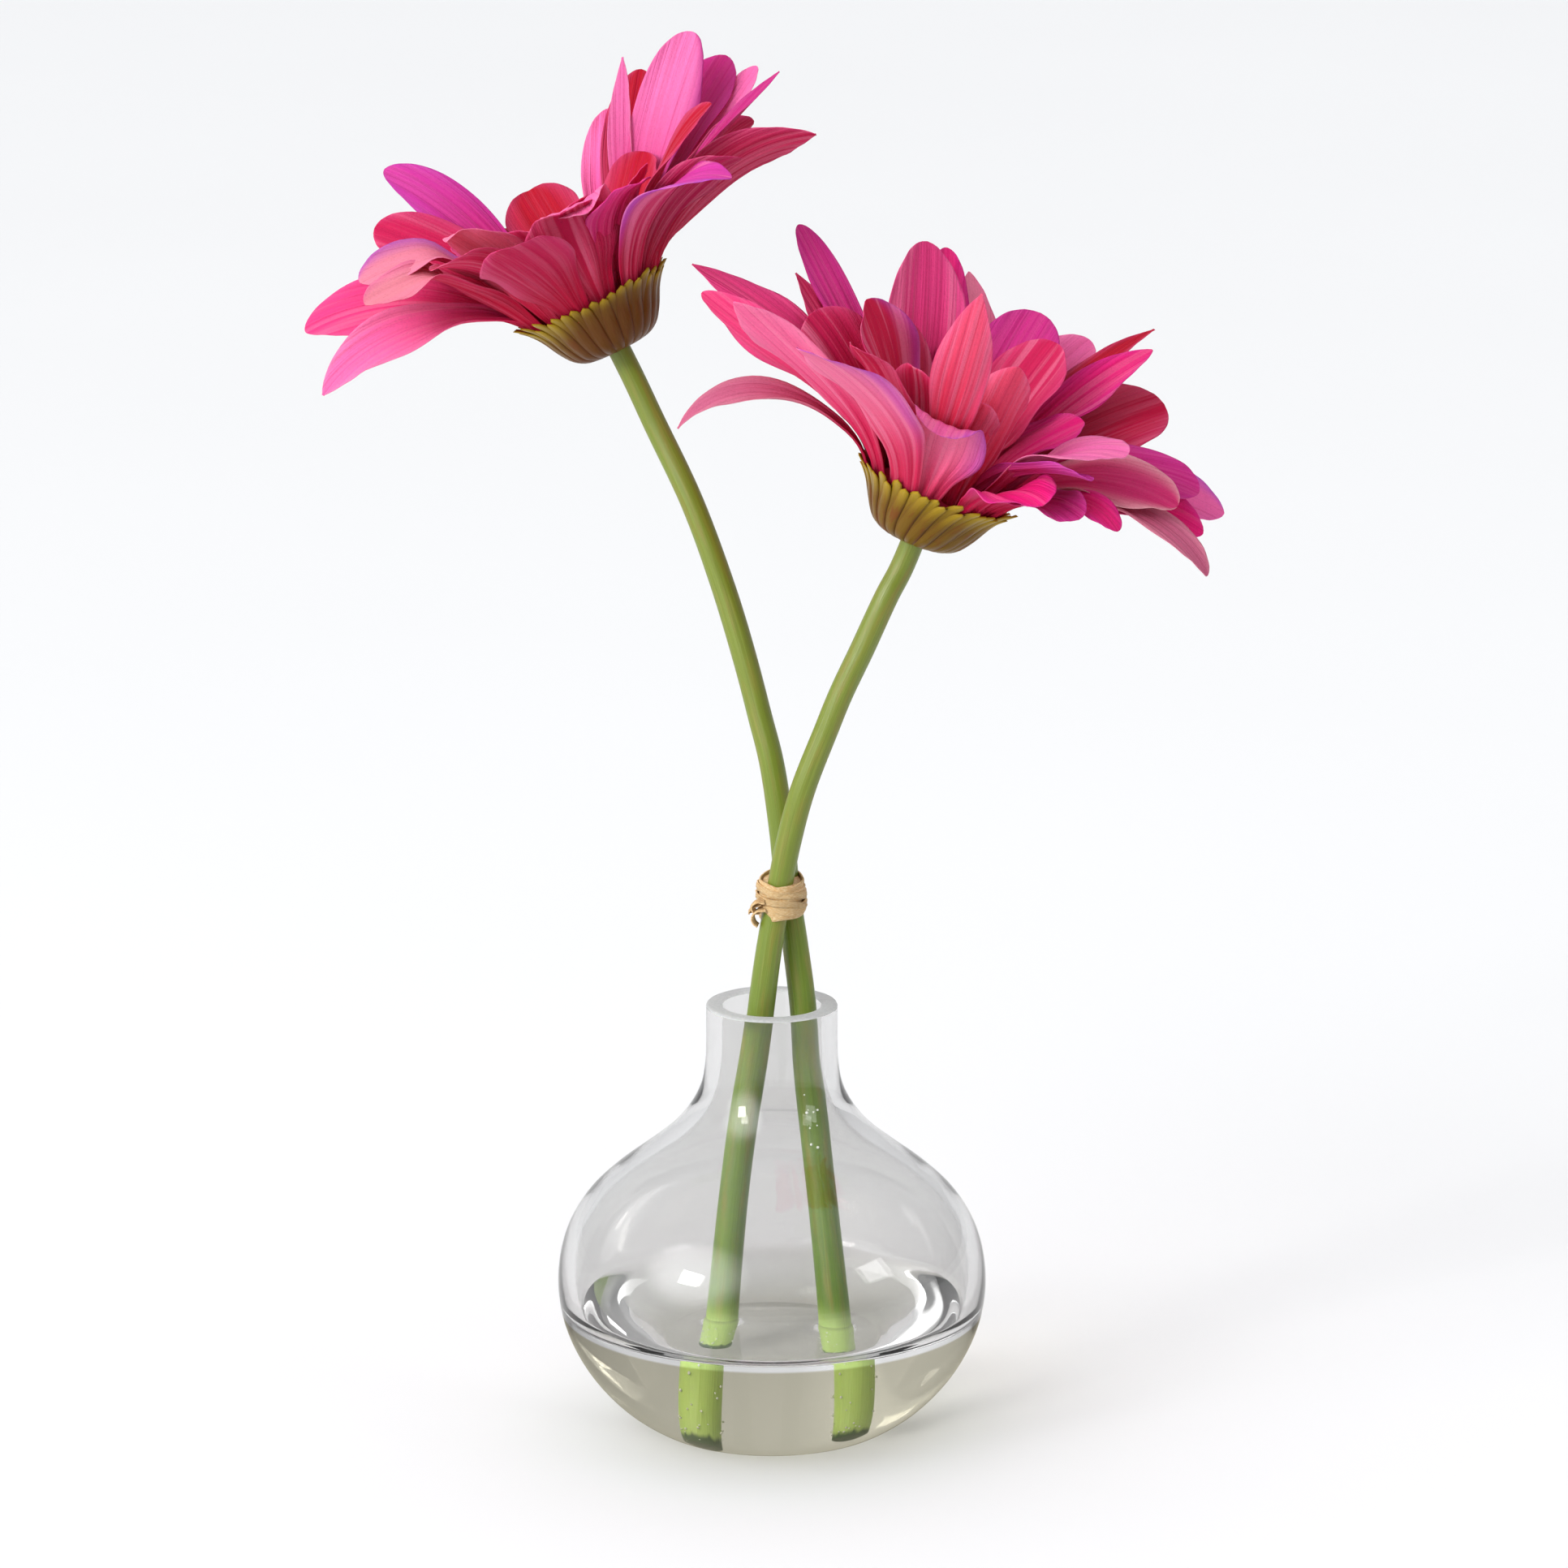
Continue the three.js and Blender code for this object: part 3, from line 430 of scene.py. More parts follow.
class Graph:
    """The nodes of a new material or world, with short calls that add one and feed its inputs."""

    def __init__(self, name, owners=bpy.data.materials, output="OutputMaterial"):
        self.owner = owners.new(name)
        self.owner.use_nodes = True
        self.tree = self.owner.node_tree
        self.tree.nodes.clear()
        self.output = self.add(output)

    def add(self, kind, inputs=None, **settings):
        made = self.tree.nodes.new("ShaderNode" + kind)
        for key, value in settings.items():
            setattr(made, key, value)
        for key, value in (inputs or {}).items():
            self.feed(made.inputs[key], value)
        return made

    def feed(self, socket, value):
        if isinstance(value, bpy.types.NodeSocket):
            self.tree.links.new(value, socket)
        elif hasattr(value, "__len__") and socket.type == "RGBA":
            socket.default_value = (*value[:3], 1)
        else:
            socket.default_value = value

    def out(self, kind, inputs, **settings):
        """The first output of a new node."""
        return self.add(kind, inputs, **settings).outputs[0]

    def attribute(self, name, output="Fac"):
        return self.add("Attribute", attribute_name=name).outputs[output]

    def position(self):
        return self.add("TexCoord").outputs["Object"]

    def split(self, vector):
        return self.add("SeparateXYZ", {0: vector}).outputs[:]

    def join(self, x, y, z=0.0):
        return self.out("CombineXYZ", {0: x, 1: y, 2: z})

    def math(self, operation, a, b=0.0, c=0.0):
        return self.out("Math", {0: a, 1: b, 2: c}, operation=operation)

    def times(self, a, b, plus=0.0):
        return self.math("MULTIPLY_ADD", a, b, plus)

    def span(self, value, low, high, to_low=0.0, to_high=1.0):
        """value taken from the range low to high onto another, smoothly and held at its ends."""
        inputs = {"Value": value, "From Min": low, "From Max": high, "To Min": to_low, "To Max": to_high}
        return self.out("MapRange", inputs, interpolation_type="SMOOTHSTEP")

    def noise(self, vector, scale=1.0, detail=3.0, roughness=0.5):
        inputs = {"Vector": vector, "Scale": scale, "Detail": detail, "Roughness": roughness}
        return self.out("TexNoise", inputs)

    def blend(self, share, a, b):
        made = self.add("Mix", {"Factor": share}, data_type="RGBA")
        colours = [socket for socket in made.inputs if socket.type == "RGBA"]
        self.feed(colours[0], a)
        self.feed(colours[1], b)
        return next(socket for socket in made.outputs if socket.type == "RGBA")

    def bump(self, height, distance, strength):
        return self.out("Bump", {"Height": height, "Distance": distance, "Strength": strength})

    def principled(self, colour, roughness, more=None):
        return self.out("BsdfPrincipled", {"Base Color": colour, "Roughness": roughness, **(more or {})})

    def mix(self, share, a, b):
        return self.out("MixShader", {0: share, 1: a, 2: b})

    def finish(self, shader):
        self.feed(self.output.inputs["Surface"], shader)
        return self.owner


def petal_fabric():
    """Dyed fabric with pale lengthwise streaks, and veins that show a little more underneath."""
    g = Graph("petal_fabric")
    across, along, number = g.split(g.attribute("blade", "Vector"))
    shift = g.times(number, 7.31)
    broad = g.noise(g.join(g.times(across, 4.6, shift), g.times(along, 0.5), number), 1.3)
    streaks = g.times(g.span(broad, 0.48, 0.64, 0, 0.7), g.attribute("stripes"))
    veins = g.noise(g.join(g.times(across, 15, shift), g.times(along, 0.8), number), 1.2, 4)
    pale_veins = g.times(g.span(veins, 0.48, 0.68), g.times(g.attribute("under"), 0.06, 0.09))
    pale = g.math("MAXIMUM", streaks, pale_veins)
    colour = g.blend(pale, g.attribute("dye", "Color"), (0.97, 0.27, 0.45))
    colour = g.blend(g.span(veins, 0.46, 0.32, 0, 0.26), colour, (0.55, 0.008, 0.1))
    colour = g.blend(g.span(along, 0.45, 0.04, 0, 0.6), colour, (0.58, 0.006, 0.04))
    weave = g.noise(g.position(), 2600, 2)
    colour = g.blend(g.span(weave, 0.55, 0.3, 0, 0.12), colour, (0.3, 0.004, 0.05))
    normal = g.bump(g.times(weave, 0.25, veins), 0.0005, 0.8)
    roughness = g.span(weave, 0.3, 0.7, 0.58, 0.75)
    fabric = g.principled(colour, roughness, {"Normal": normal, "Specular IOR Level": 0.12})
    through = g.out("BsdfTranslucent", {"Color": colour, "Normal": normal})
    return g.finish(g.mix(0.22, fabric, through))


def stem_plastic():
    """Moulded plastic in greens that drift along the stem, with fine streaks and a paler foot."""
    g = Graph("stem_plastic")
    around, along, _ = g.split(g.attribute("place", "Vector"))
    streaks = g.noise(g.join(g.times(around, 9), g.times(along, 9)), 1, 4, 0.55)
    patches = g.noise(g.join(g.times(around, 1.6), g.times(along, 14)), 1, 3)
    colour = g.blend(g.span(along, 0.1, 0.75), (0.1, 0.182, 0.008), (0.158, 0.205, 0.011))
    colour = g.blend(g.span(patches, 0.45, 0.72, 0, 0.6), colour, (0.23, 0.18, 0.02))
    colour = g.blend(g.span(streaks, 0.5, 0.75, 0, 0.35), colour, (0.26, 0.33, 0.05))
    colour = g.blend(g.span(streaks, 0.45, 0.3, 0, 0.3), colour, (0.07, 0.1, 0.006))
    height = g.split(g.position())[2]
    sunk = g.span(height, (RESIN_LEVEL + 0.5) * MM, (RESIN_LEVEL - 1.5) * MM)
    foot = g.blend(sunk, (0.46, 0.61, 0.18), (0.61, 0.82, 0.23))
    colour = g.blend(g.span(height, (RESIN_LEVEL + 6) * MM, (RESIN_LEVEL - 1) * MM, 0, 0.85), colour, foot)
    cut = g.times(g.noise(g.join(around, around), 2.5, 4), 0.004, height)
    colour = g.blend(g.span(cut, 0.0122, 0.0106), colour, (0.035, 0.1, 0.02))
    plastic = g.principled(colour, g.span(patches, 0.3, 0.7, 0.3, 0.44), {
        "Normal": g.bump(streaks, 0.0004, 0.35), "Specular IOR Level": 0.55,
        "Subsurface Weight": 0.12, "Subsurface Scale": 0.002, "Subsurface Radius": (0.6, 1, 0.25),
    })
    return g.finish(plastic)


def calyx_plastic():
    """Olive moulded bracts, lighter at their tips, with painted shade: brown in the hollows between bracts,
    and browner on the left bloom's side turned from the key light.
    """
    g = Graph("calyx_plastic")
    across, rise, number = g.split(g.attribute("place", "Vector"))
    mottle = g.noise(g.join(g.times(number, 5.1, across), g.times(rise, 3), number), 1.4, 4)
    colour = g.blend(g.span(rise, 0.62, 1), (0.155, 0.082, 0.003), (0.36, 0.235, 0.008))
    # Painted shade: the edges of each bract, lower down where they tuck under their neighbours, darkened to
    # brown.
    painted_hollow_shade = g.times(g.span(g.math("ABSOLUTE", across), 0.45, 1), g.span(rise, 1, 0.6, 0.15, 0.8))
    colour = g.blend(painted_hollow_shade, colour, (0.07, 0.022, 0.002))
    blush = g.times(g.span(mottle, 0.5, 0.72), g.span(rise, 0.95, 0.6, 0.1, 0.75))
    colour = g.blend(blush, colour, (0.16, 0.04, 0.006))
    # Painted shade: the middle and right side of the left calyx, turned from the key light, darkened to
    # brown, with a little of it on the right calyx.
    x = g.split(g.position())[0]
    painted_shade_side = g.times(g.span(x, -0.044, -0.036), g.span(x, -0.02, 0.012, 1, 0.15))
    painted_shade_side = g.times(painted_shade_side, g.span(rise, 1, 0.82, 0.1, 0.8))
    colour = g.blend(painted_shade_side, colour, (0.095, 0.024, 0.001))
    normal = g.bump(mottle, 0.0004, 0.4)
    roughness = g.span(mottle, 0.3, 0.7, 0.3, 0.5)
    return g.finish(g.principled(colour, roughness, {"Normal": normal, "Specular IOR Level": 0.18}))


def floret_fabric():
    """Green to yellow florets, darker towards their feet."""
    g = Graph("floret_fabric")
    turn, rise, out = g.split(g.attribute("place", "Vector"))
    tone = g.noise(g.join(turn, rise, out), 9, 2)
    colour = g.blend(g.span(out, 0.2, 1), (0.2, 0.24, 0.03), (0.62, 0.45, 0.06))
    colour = g.blend(g.span(rise, 0.7, 0, 0, 0.8), colour, (0.1, 0.06, 0.01))
    colour = g.blend(g.span(tone, 0.4, 0.7, 0, 0.4), colour, (0.7, 0.58, 0.16))
    return g.finish(g.principled(colour, g.span(tone, 0.3, 0.7, 0.7, 0.85), {"Sheen Weight": 0.2}))


def raffia_straw():
    """Dry straw ribbon with long fibres and darker creases."""
    g = Graph("raffia_straw")
    around, across, number = g.split(g.attribute("place", "Vector"))
    fibres = g.noise(g.join(g.times(around, 2.2), g.times(across, 9), number), 1, 5, 0.6)
    tone = g.noise(g.join(g.times(around, 0.8), across, number), 1.1, 2)
    colour = g.blend(g.span(fibres, 0.35, 0.7), (0.74, 0.45, 0.18), (0.95, 0.76, 0.45))
    colour = g.blend(g.span(tone, 0.5, 0.75, 0, 0.5), colour, (0.74, 0.42, 0.15))
    normal = g.bump(fibres, 0.0006, 0.8)
    roughness = g.span(fibres, 0.3, 0.7, 0.7, 0.5)
    straw = g.principled(colour, roughness, {"Normal": normal, "Specular IOR Level": 0.35})
    through = g.out("BsdfTranslucent", {"Color": colour, "Normal": normal})
    return g.finish(g.mix(0.12, straw, through))


def clear_glass():
    """Glass and resin in one, tinted once, where light enters, with the resin's own tint low on the wall.

    The lamps' light passes through instead of being bent.
    """
    g = Graph("clear_glass")
    places = g.add("TexCoord").outputs
    at = places["Object"]
    low = g.span(g.split(at)[2], (RESIN_LEVEL + 0.3) * MM, (RESIN_LEVEL - 0.3) * MM)
    wall = g.span(g.split(places["Normal"])[2], 0.7, 0.4)
    entering = g.blend(g.times(low, wall), (0.815, 0.812, 0.805), (0.51, 0.485, 0.385))
    inside = g.add("NewGeometry").outputs["Backfacing"]
    ripple = g.noise(at, 60, 2)
    glass = g.out("BsdfGlass", {
        "Color": g.blend(inside, entering, (1, 1, 1)), "Roughness": g.span(ripple, 0.3, 0.7, 0, 0.012),
        "IOR": 1.5,
    })
    light = g.out("BsdfTransparent", {"Color": (0.9, 0.902, 0.895)})
    return g.finish(g.mix(g.add("LightPath").outputs["Is Shadow Ray"], glass, light))


def bubble_painted_glint():
    """Small bubbles, which look white against the green: real bubbles made as white beads, whose white is a
    painted glint in place of the light that air bubbles reflect.
    """
    g = Graph("bubble_painted_glint")
    colour = g.blend(g.noise(g.position(), 900, 2), (0.8, 0.82, 0.74), (0.95, 0.95, 0.92))
    return g.finish(g.principled(colour, 0.25))


def ground_glass():
    """Glass ground flat, which scatters light."""
    g = Graph("ground_glass")
    grain = g.noise(g.position(), 1500, 3)
    colour = g.blend(g.span(grain, 0.35, 0.65), (0.88, 0.9, 0.9), (0.96, 0.97, 0.97))
    frost = g.principled(colour, 0.45, {"Normal": g.bump(grain, 0.0001, 0.5)})
    through = g.out("BsdfTranslucent", {"Color": colour})
    return g.finish(g.mix(0.75, frost, through))


def unit(vectors):
    return vectors / np.linalg.norm(vectors, axis=-1, keepdims=True)


def smooth(share):
    return share * share * (3 - 2 * share)


def polar(radius, turn, height=0):
    return np.array((radius * math.cos(turn), radius * math.sin(turn), height))


def sideways(turn):
    return np.array((-math.sin(turn), math.cos(turn), 0))


def circle(sides):
    return np.arange(sides) * FULL_TURN / sides


def revolve(profile, sides):
    """A row of points round the axis for each radius and height of a profile."""
    turns = circle(sides)
    return [np.stack([r * np.cos(turns), r * np.sin(turns), np.full(sides, z)], 1) for r, z in profile]


def radius_at(height, rows):
    """The radius at a height, from rows of radius and height."""
    radii, heights = np.array(rows).T
    return float(np.interp(height, heights, radii))


def path_lengths(line):
    """How far along a line of points each of them lies."""
    return np.concatenate([[0], np.cumsum(np.linalg.norm(np.diff(line, axis=0), axis=1))])


def catmull_rom(points, steps):
    """A centripetal curve through the points, with that many steps between each two."""
    points = np.asarray(points, float)
    padded = np.vstack([2 * points[0] - points[1], points, 2 * points[-1] - points[-2]])
    made = []
    for a, b, c, d in zip(padded, padded[1:], padded[2:], padded[3:]):
        gaps = [max(math.sqrt(np.linalg.norm(q - p)), 1e-4) for p, q in ((a, b), (b, c), (c, d))]
        first = ((b - a) / gaps[0] - (c - a) / (gaps[0] + gaps[1]) + (c - b) / gaps[1]) * gaps[1]
        last = ((c - b) / gaps[1] - (d - b) / (gaps[1] + gaps[2]) + (d - c) / gaps[2]) * gaps[1]
        for k in range(steps):
            t = k / steps
            square, cube = t * t, t * t * t
            made.append(b + first * t + (3 * (c - b) - 2 * first - last) * square
                        + (2 * (b - c) + first + last) * cube)
    made.append(points[-1])
    return np.array(made)


def loop_faces(rows, columns, close=False):
    """Quads of a grid whose rows each run round a closed loop. close joins the last row to the first."""
    faces = []
    for i in range(rows if close else rows - 1):
        low, high = i * columns, ((i + 1) % rows) * columns
        for k in range(columns):
            n = (k + 1) % columns
            faces.append((low + k, low + n, high + n, high + k))
    return faces


def capped_faces(rows, columns):
    """Quads of rows that run round closed loops, and a polygon over the first row and the last."""
    caps = [tuple(range(columns))[::-1], tuple((rows - 1) * columns + k for k in range(columns))]
    return loop_faces(rows, columns) + caps


def bloom_frame(side):
    """A bloom's own axes, with the way it faces last, and its origin, the middle of the calyx's mouth."""
    axis = Vector(BLOOMS[side]["axis"]).normalized()
    right = (Vector((1, 0, 0)) - axis * axis.x).normalized()
    return np.array([right, axis.cross(right), axis]), np.array(BLOOMS[side]["rim"], float)


def stem_line(side):
    """A stem's centreline, from its foot to its end in the calyx's socket."""
    (_, _, axis), rim = bloom_frame(side)
    top = CALYX_SOCKET - CALYX_DEPTH - SOCKET_GAP
    route = [*STEM_ROUTES[side], rim - axis * (CALYX_DEPTH + 6), rim + axis * top]
    return catmull_rom(route, STEM_SPAN_STEPS)


def make_stem(side, material):
    """A smooth, slightly uneven rod along the stem's line, with a rounded foot."""
    line = stem_line(side)
    tangents = unit(np.gradient(line, axis=0))
    lengths = path_lengths(line)
    normal = np.cross(tangents[0], (0, 1, 0))
    turns = circle(STEM_SIDES)
    rows, places = [], []
    for centre, tangent, length in zip(line, tangents, lengths):
        normal = unit(normal - tangent * normal.dot(tangent))
        uneven = 1 + 0.012 * np.sin(3 * turns + length * 0.06) + 0.01 * math.sin(length * 0.17)
        radius = radius_at(centre[2], STEM_RADII) * uneven
        rows.append(centre + np.outer(radius * np.cos(turns), normal)
                    + np.outer(radius * np.sin(turns), np.cross(tangent, normal)))
        places.append([(turn, length / lengths[-1], 0) for turn in turns])
    foot = line[0] + (rows[0] - line[0]) * FOOT_ROUNDING - tangents[0] * FOOT_DROP
    ends = [line[0] - tangents[0] * FOOT_MIDDLE, line[-1]]
    shape = Shape()
    shape.tube([foot, *rows], ends, place=np.vstack([places[0], *places, (0, 0, 0), (0, 1, 0)]))
    shape.make(f"moulded_stem_{side}", material, "stem", f"stem_{side}")


def make_vase(material, ground):
    """Glass and the clear resin cast into it, which bend light alike and so are one clear body."""
    outer, inner = VASE_OUTSIDE[-1][0], VASE_INSIDE[-1][0]
    under_rim = RIM_HEIGHT - RIM_CHAMFER - CORNER
    corner = [(0, RIM_CHAMFER), (RIM_ROUNDING, RIM_ROUNDING), (RIM_CHAMFER, 0)]
    rim = [(outer - inset, RIM_HEIGHT - drop) for inset, drop in corner]
    rim += [(inner + inset, RIM_HEIGHT - drop) for inset, drop in corner[::-1]]
    edge_height = RESIN_LEVEL + MENISCUS
    edge = radius_at(edge_height, VASE_INSIDE)
    above_edge = edge_height + CORNER
    outside = [*catmull_rom(VASE_OUTSIDE, WALL_STEPS), (outer, under_rim)]
    inside = [p for p in catmull_rom(VASE_INSIDE, WALL_STEPS)[::-1] if p[1] > edge_height + 0.3]
    rows = revolve([
        (BASE_FLAT, 0), *outside, *rim, (inner, under_rim), *inside,
        (radius_at(above_edge, VASE_INSIDE), above_edge), (edge, edge_height),
    ], VASE_SIDES)
    stems = [line[np.abs(line[:, 2] - RESIN_LEVEL).argmin()] for line in map(stem_line, BLOOMS)]
    turns = circle(VASE_SIDES)
    for k in range(1, RESIN_RINGS):
        radius = edge * (1 - (k / RESIN_RINGS) ** 1.5)
        x, y = radius * np.cos(turns), radius * np.sin(turns)
        z = RESIN_LEVEL + MENISCUS * math.exp(-(edge - radius) / MENISCUS_REACH)
        for stem in stems:
            away = np.hypot(x - stem[0], y - stem[1]) - radius_at(RESIN_LEVEL, STEM_RADII)
            z = z + COLLAR * np.exp(-np.maximum(away, 0) / COLLAR_REACH)
        rows.append(np.stack([x, y, z], 1))
    shape = Shape()
    shape.tube(rows, [(0, 0, 0), (0, 0, RESIN_LEVEL)])
    rim_start = 1 + len(outside)
    rim_faces = range(rim_start * VASE_SIDES, (rim_start + len(rim) - 1) * VASE_SIDES)
    shape.make("bud_vase", material, "glass", "vase", "resin", trim=(ground, rim_faces))


def make_bubbles(material):
    """Small bubbles on the stems, and a few under the resin's surface."""
    spots = []
    for side in BLOOMS:
        line = stem_line(side)
        below = line[line[:, 2] < RESIN_LEVEL - 1]
        for _ in range(FOOT_BUBBLES):
            k = DRAW.randrange(len(below) - 1)
            centre = below[k] + (below[k + 1] - below[k]) * DRAW.random()
            turn = DRAW.uniform(-math.pi, 0.2)
            size = DRAW.uniform(*BUBBLE_SIZES)
            out = radius_at(centre[2], STEM_RADII) + size + 0.1
            spots.append((centre + polar(out, turn), size))
    line = stem_line("left")
    lowest, highest = HIGH_BUBBLE_HEIGHTS
    line = line[(line[:, 2] > lowest) & (line[:, 2] < highest)]
    for _ in range(HIGH_BUBBLES):
        size = DRAW.uniform(*HIGH_BUBBLE_SIZES)
        centre = line[DRAW.randrange(len(line))] + (0, 0, DRAW.uniform(-0.8, 0.8))
        turn = DRAW.uniform(-2, -1.2)
        out = radius_at(centre[2], STEM_RADII) + size * 0.6
        spots.append((centre + polar(out, turn), size))
    for _ in range(SURFACE_BUBBLES):
        turn = DRAW.uniform(0, FULL_TURN)
        out = DRAW.uniform(*SURFACE_BUBBLE_RADII)
        size = DRAW.uniform(*BUBBLE_SIZES)
        spots.append((polar(out, turn, RESIN_LEVEL - size - 0.15), size))
    shape = Shape()
    for centre, size in spots:
        ball = Shape()
        ball.lathe([(size * math.sin(a), -size * math.cos(a)) for a in np.linspace(0, math.pi, 9)], 12)
        shape.add(ball.points[0] + centre, ball.faces)
    shape.make("resin_bubbles", material, "resin")


def make_calyx(side, material):
    """A cup of narrow bracts laid like shingles, with rounded, outward tips."""
    shape = Shape()
    wall = catmull_rom(CALYX_WALL, 4)
    inset = [(max(r - CUP_INSET, SOCKET_RADIUS + 0.1), z - 0.05) for r, z in wall[:-2]]
    socket_top = CALYX_SOCKET - CALYX_DEPTH
    socket = [(0, socket_top), (SOCKET_RADIUS, socket_top), (SOCKET_RADIUS, 0.4 - CALYX_DEPTH)]
    shape.lathe([*socket, *inset, *CALYX_INSIDE], CUP_SIDES, place=(1, 0.2, 0))
    lengths = path_lengths(wall)
    for layer, (sunk, extra) in enumerate(BRACT_LAYERS):
        for k in range(BRACTS):
            turn = FULL_TURN * (k + 0.5 * layer) / BRACTS + DRAW.uniform(-0.02, 0.02)
            reach = 1 + extra + DRAW.uniform(-0.05, 0.04)
            add_bract(shape, wall, lengths, turn, reach, sunk, BLOOMS[side]["slant"], k + BRACTS * layer)
    shape.make(f"calyx_bracts_{side}", material, "calyx", f"calyx_{side}", bloom=side)


def add_bract(shape, wall, lengths, turn, reach, sunk, slant, number):
    """A slim tongue that follows the cup's wall and leans out at its rounded tip."""
    lean = DRAW.uniform(0, 0.45)
    u = np.linspace(-1, 1, BRACT_COLUMNS)
    points, places = [], []
    for i in range(BRACT_ROWS + 1):
        share = i / BRACT_ROWS
        at = share * lengths[-1] * reach
        over = max(0, at - lengths[-1])
        r = float(np.interp(at, lengths, wall[:, 0])) + over * 0.75 + lean * share**6 - sunk
        z = float(np.interp(at, lengths, wall[:, 1])) + over * 0.65
        angle = turn + slant * (z / CALYX_DEPTH + 1)
        tip = max(0, (share - BRACT_TIP) / (1 - BRACT_TIP))
        full = BRACT_WIDTH - BRACT_TAPER * min(1, share / 0.85) ** 2
        half = full * FULL_TURN * r / BRACTS * math.sqrt(max(0, 1 - tip**2.6)) + 0.05
        crown = BRACT_CROWN * min(1, share * 3 + 0.2) * (1 - 0.4 * tip)
        skin = BRACT_THICKNESS * (1 - 0.4 * tip)
        outward = unit(polar(1, angle, -0.35))
        rise = crown * (1 - u * u) + 0.12 * u - 0.25 - half * half * u * u / (2 * r)
        over_top = polar(r, angle, z) + np.outer(u * half, sideways(angle)) + np.outer(rise, outward)
        points += [over_top, (over_top - outward * skin)[::-1]]
        places += [(x, share, number) for x in (*u, *u[::-1])]
    shape.add(np.vstack(points), capped_faces(BRACT_ROWS + 1, 2 * BRACT_COLUMNS), place=places)


def petal_spine(ring, index, petal, shares):
    """Centres, face normals, side directions and cup angles at shares of a petal's length, as in the part."""
    facts = RINGS[ring]
    root = facts["radius"] + (ROOT_STAGGER if index % 2 else -ROOT_STAGGER)
    point = polar(root, math.radians(petal.azimuth), facts["height"])
    spine = []
    for step in range(SPINE_STEPS + 1):
        share = step / SPINE_STEPS
        bend = max(0, (share - CURL_START) / (1 - CURL_START))
        steep = petal.lift + (facts["root_lift"] - petal.lift) * (1 - share) ** ROOT_BLEND
        folded = petal.fold * smooth(min(1, max(0, (share - petal.fold_at) / FOLD_SPAN)))
        rise = math.radians(steep + petal.curl * bend**CURL_POWER + folded)
        heading = math.radians(petal.azimuth + petal.sweep * share)
        turned = petal.roll_root + (petal.roll_tip - petal.roll_root) * smooth(share)
        roll = math.radians(turned * min(1, share / ROLL_START))
        forward = polar(math.cos(rise), heading, math.sin(rise))
        flat = sideways(heading)
        face = np.cross(forward, flat)
        normal = face * math.cos(roll) + flat * math.sin(roll)
        way = flat * math.cos(roll) - face * math.sin(roll)
        cup = math.radians(petal.cup) * (ROOT_CUP + (TIP_CUP - ROOT_CUP) * share)
        spine.append((*point, *normal, *way, cup))
        point = point + forward * petal.length / SPINE_STEPS
    known = np.linspace(0, 1, SPINE_STEPS + 1)
    spine = [np.interp(shares, known, column) for column in np.transpose(spine)]
    centres, normals, ways = np.reshape(spine[:9], (3, 3, -1)).transpose(0, 2, 1)
    return centres, unit(normals), unit(ways), spine[9]


def outline_share(share, pointed):
    """A petal's half width as a share of its widest."""
    if share < WIDEST:
        return CLAW + (1 - CLAW) * smooth(share / WIDEST)
    fall = (share - WIDEST) / (1 - WIDEST)
    return (1 - pointed) * math.sqrt(max(0, 1 - fall**2.6)) + pointed * (1 - fall**1.7)


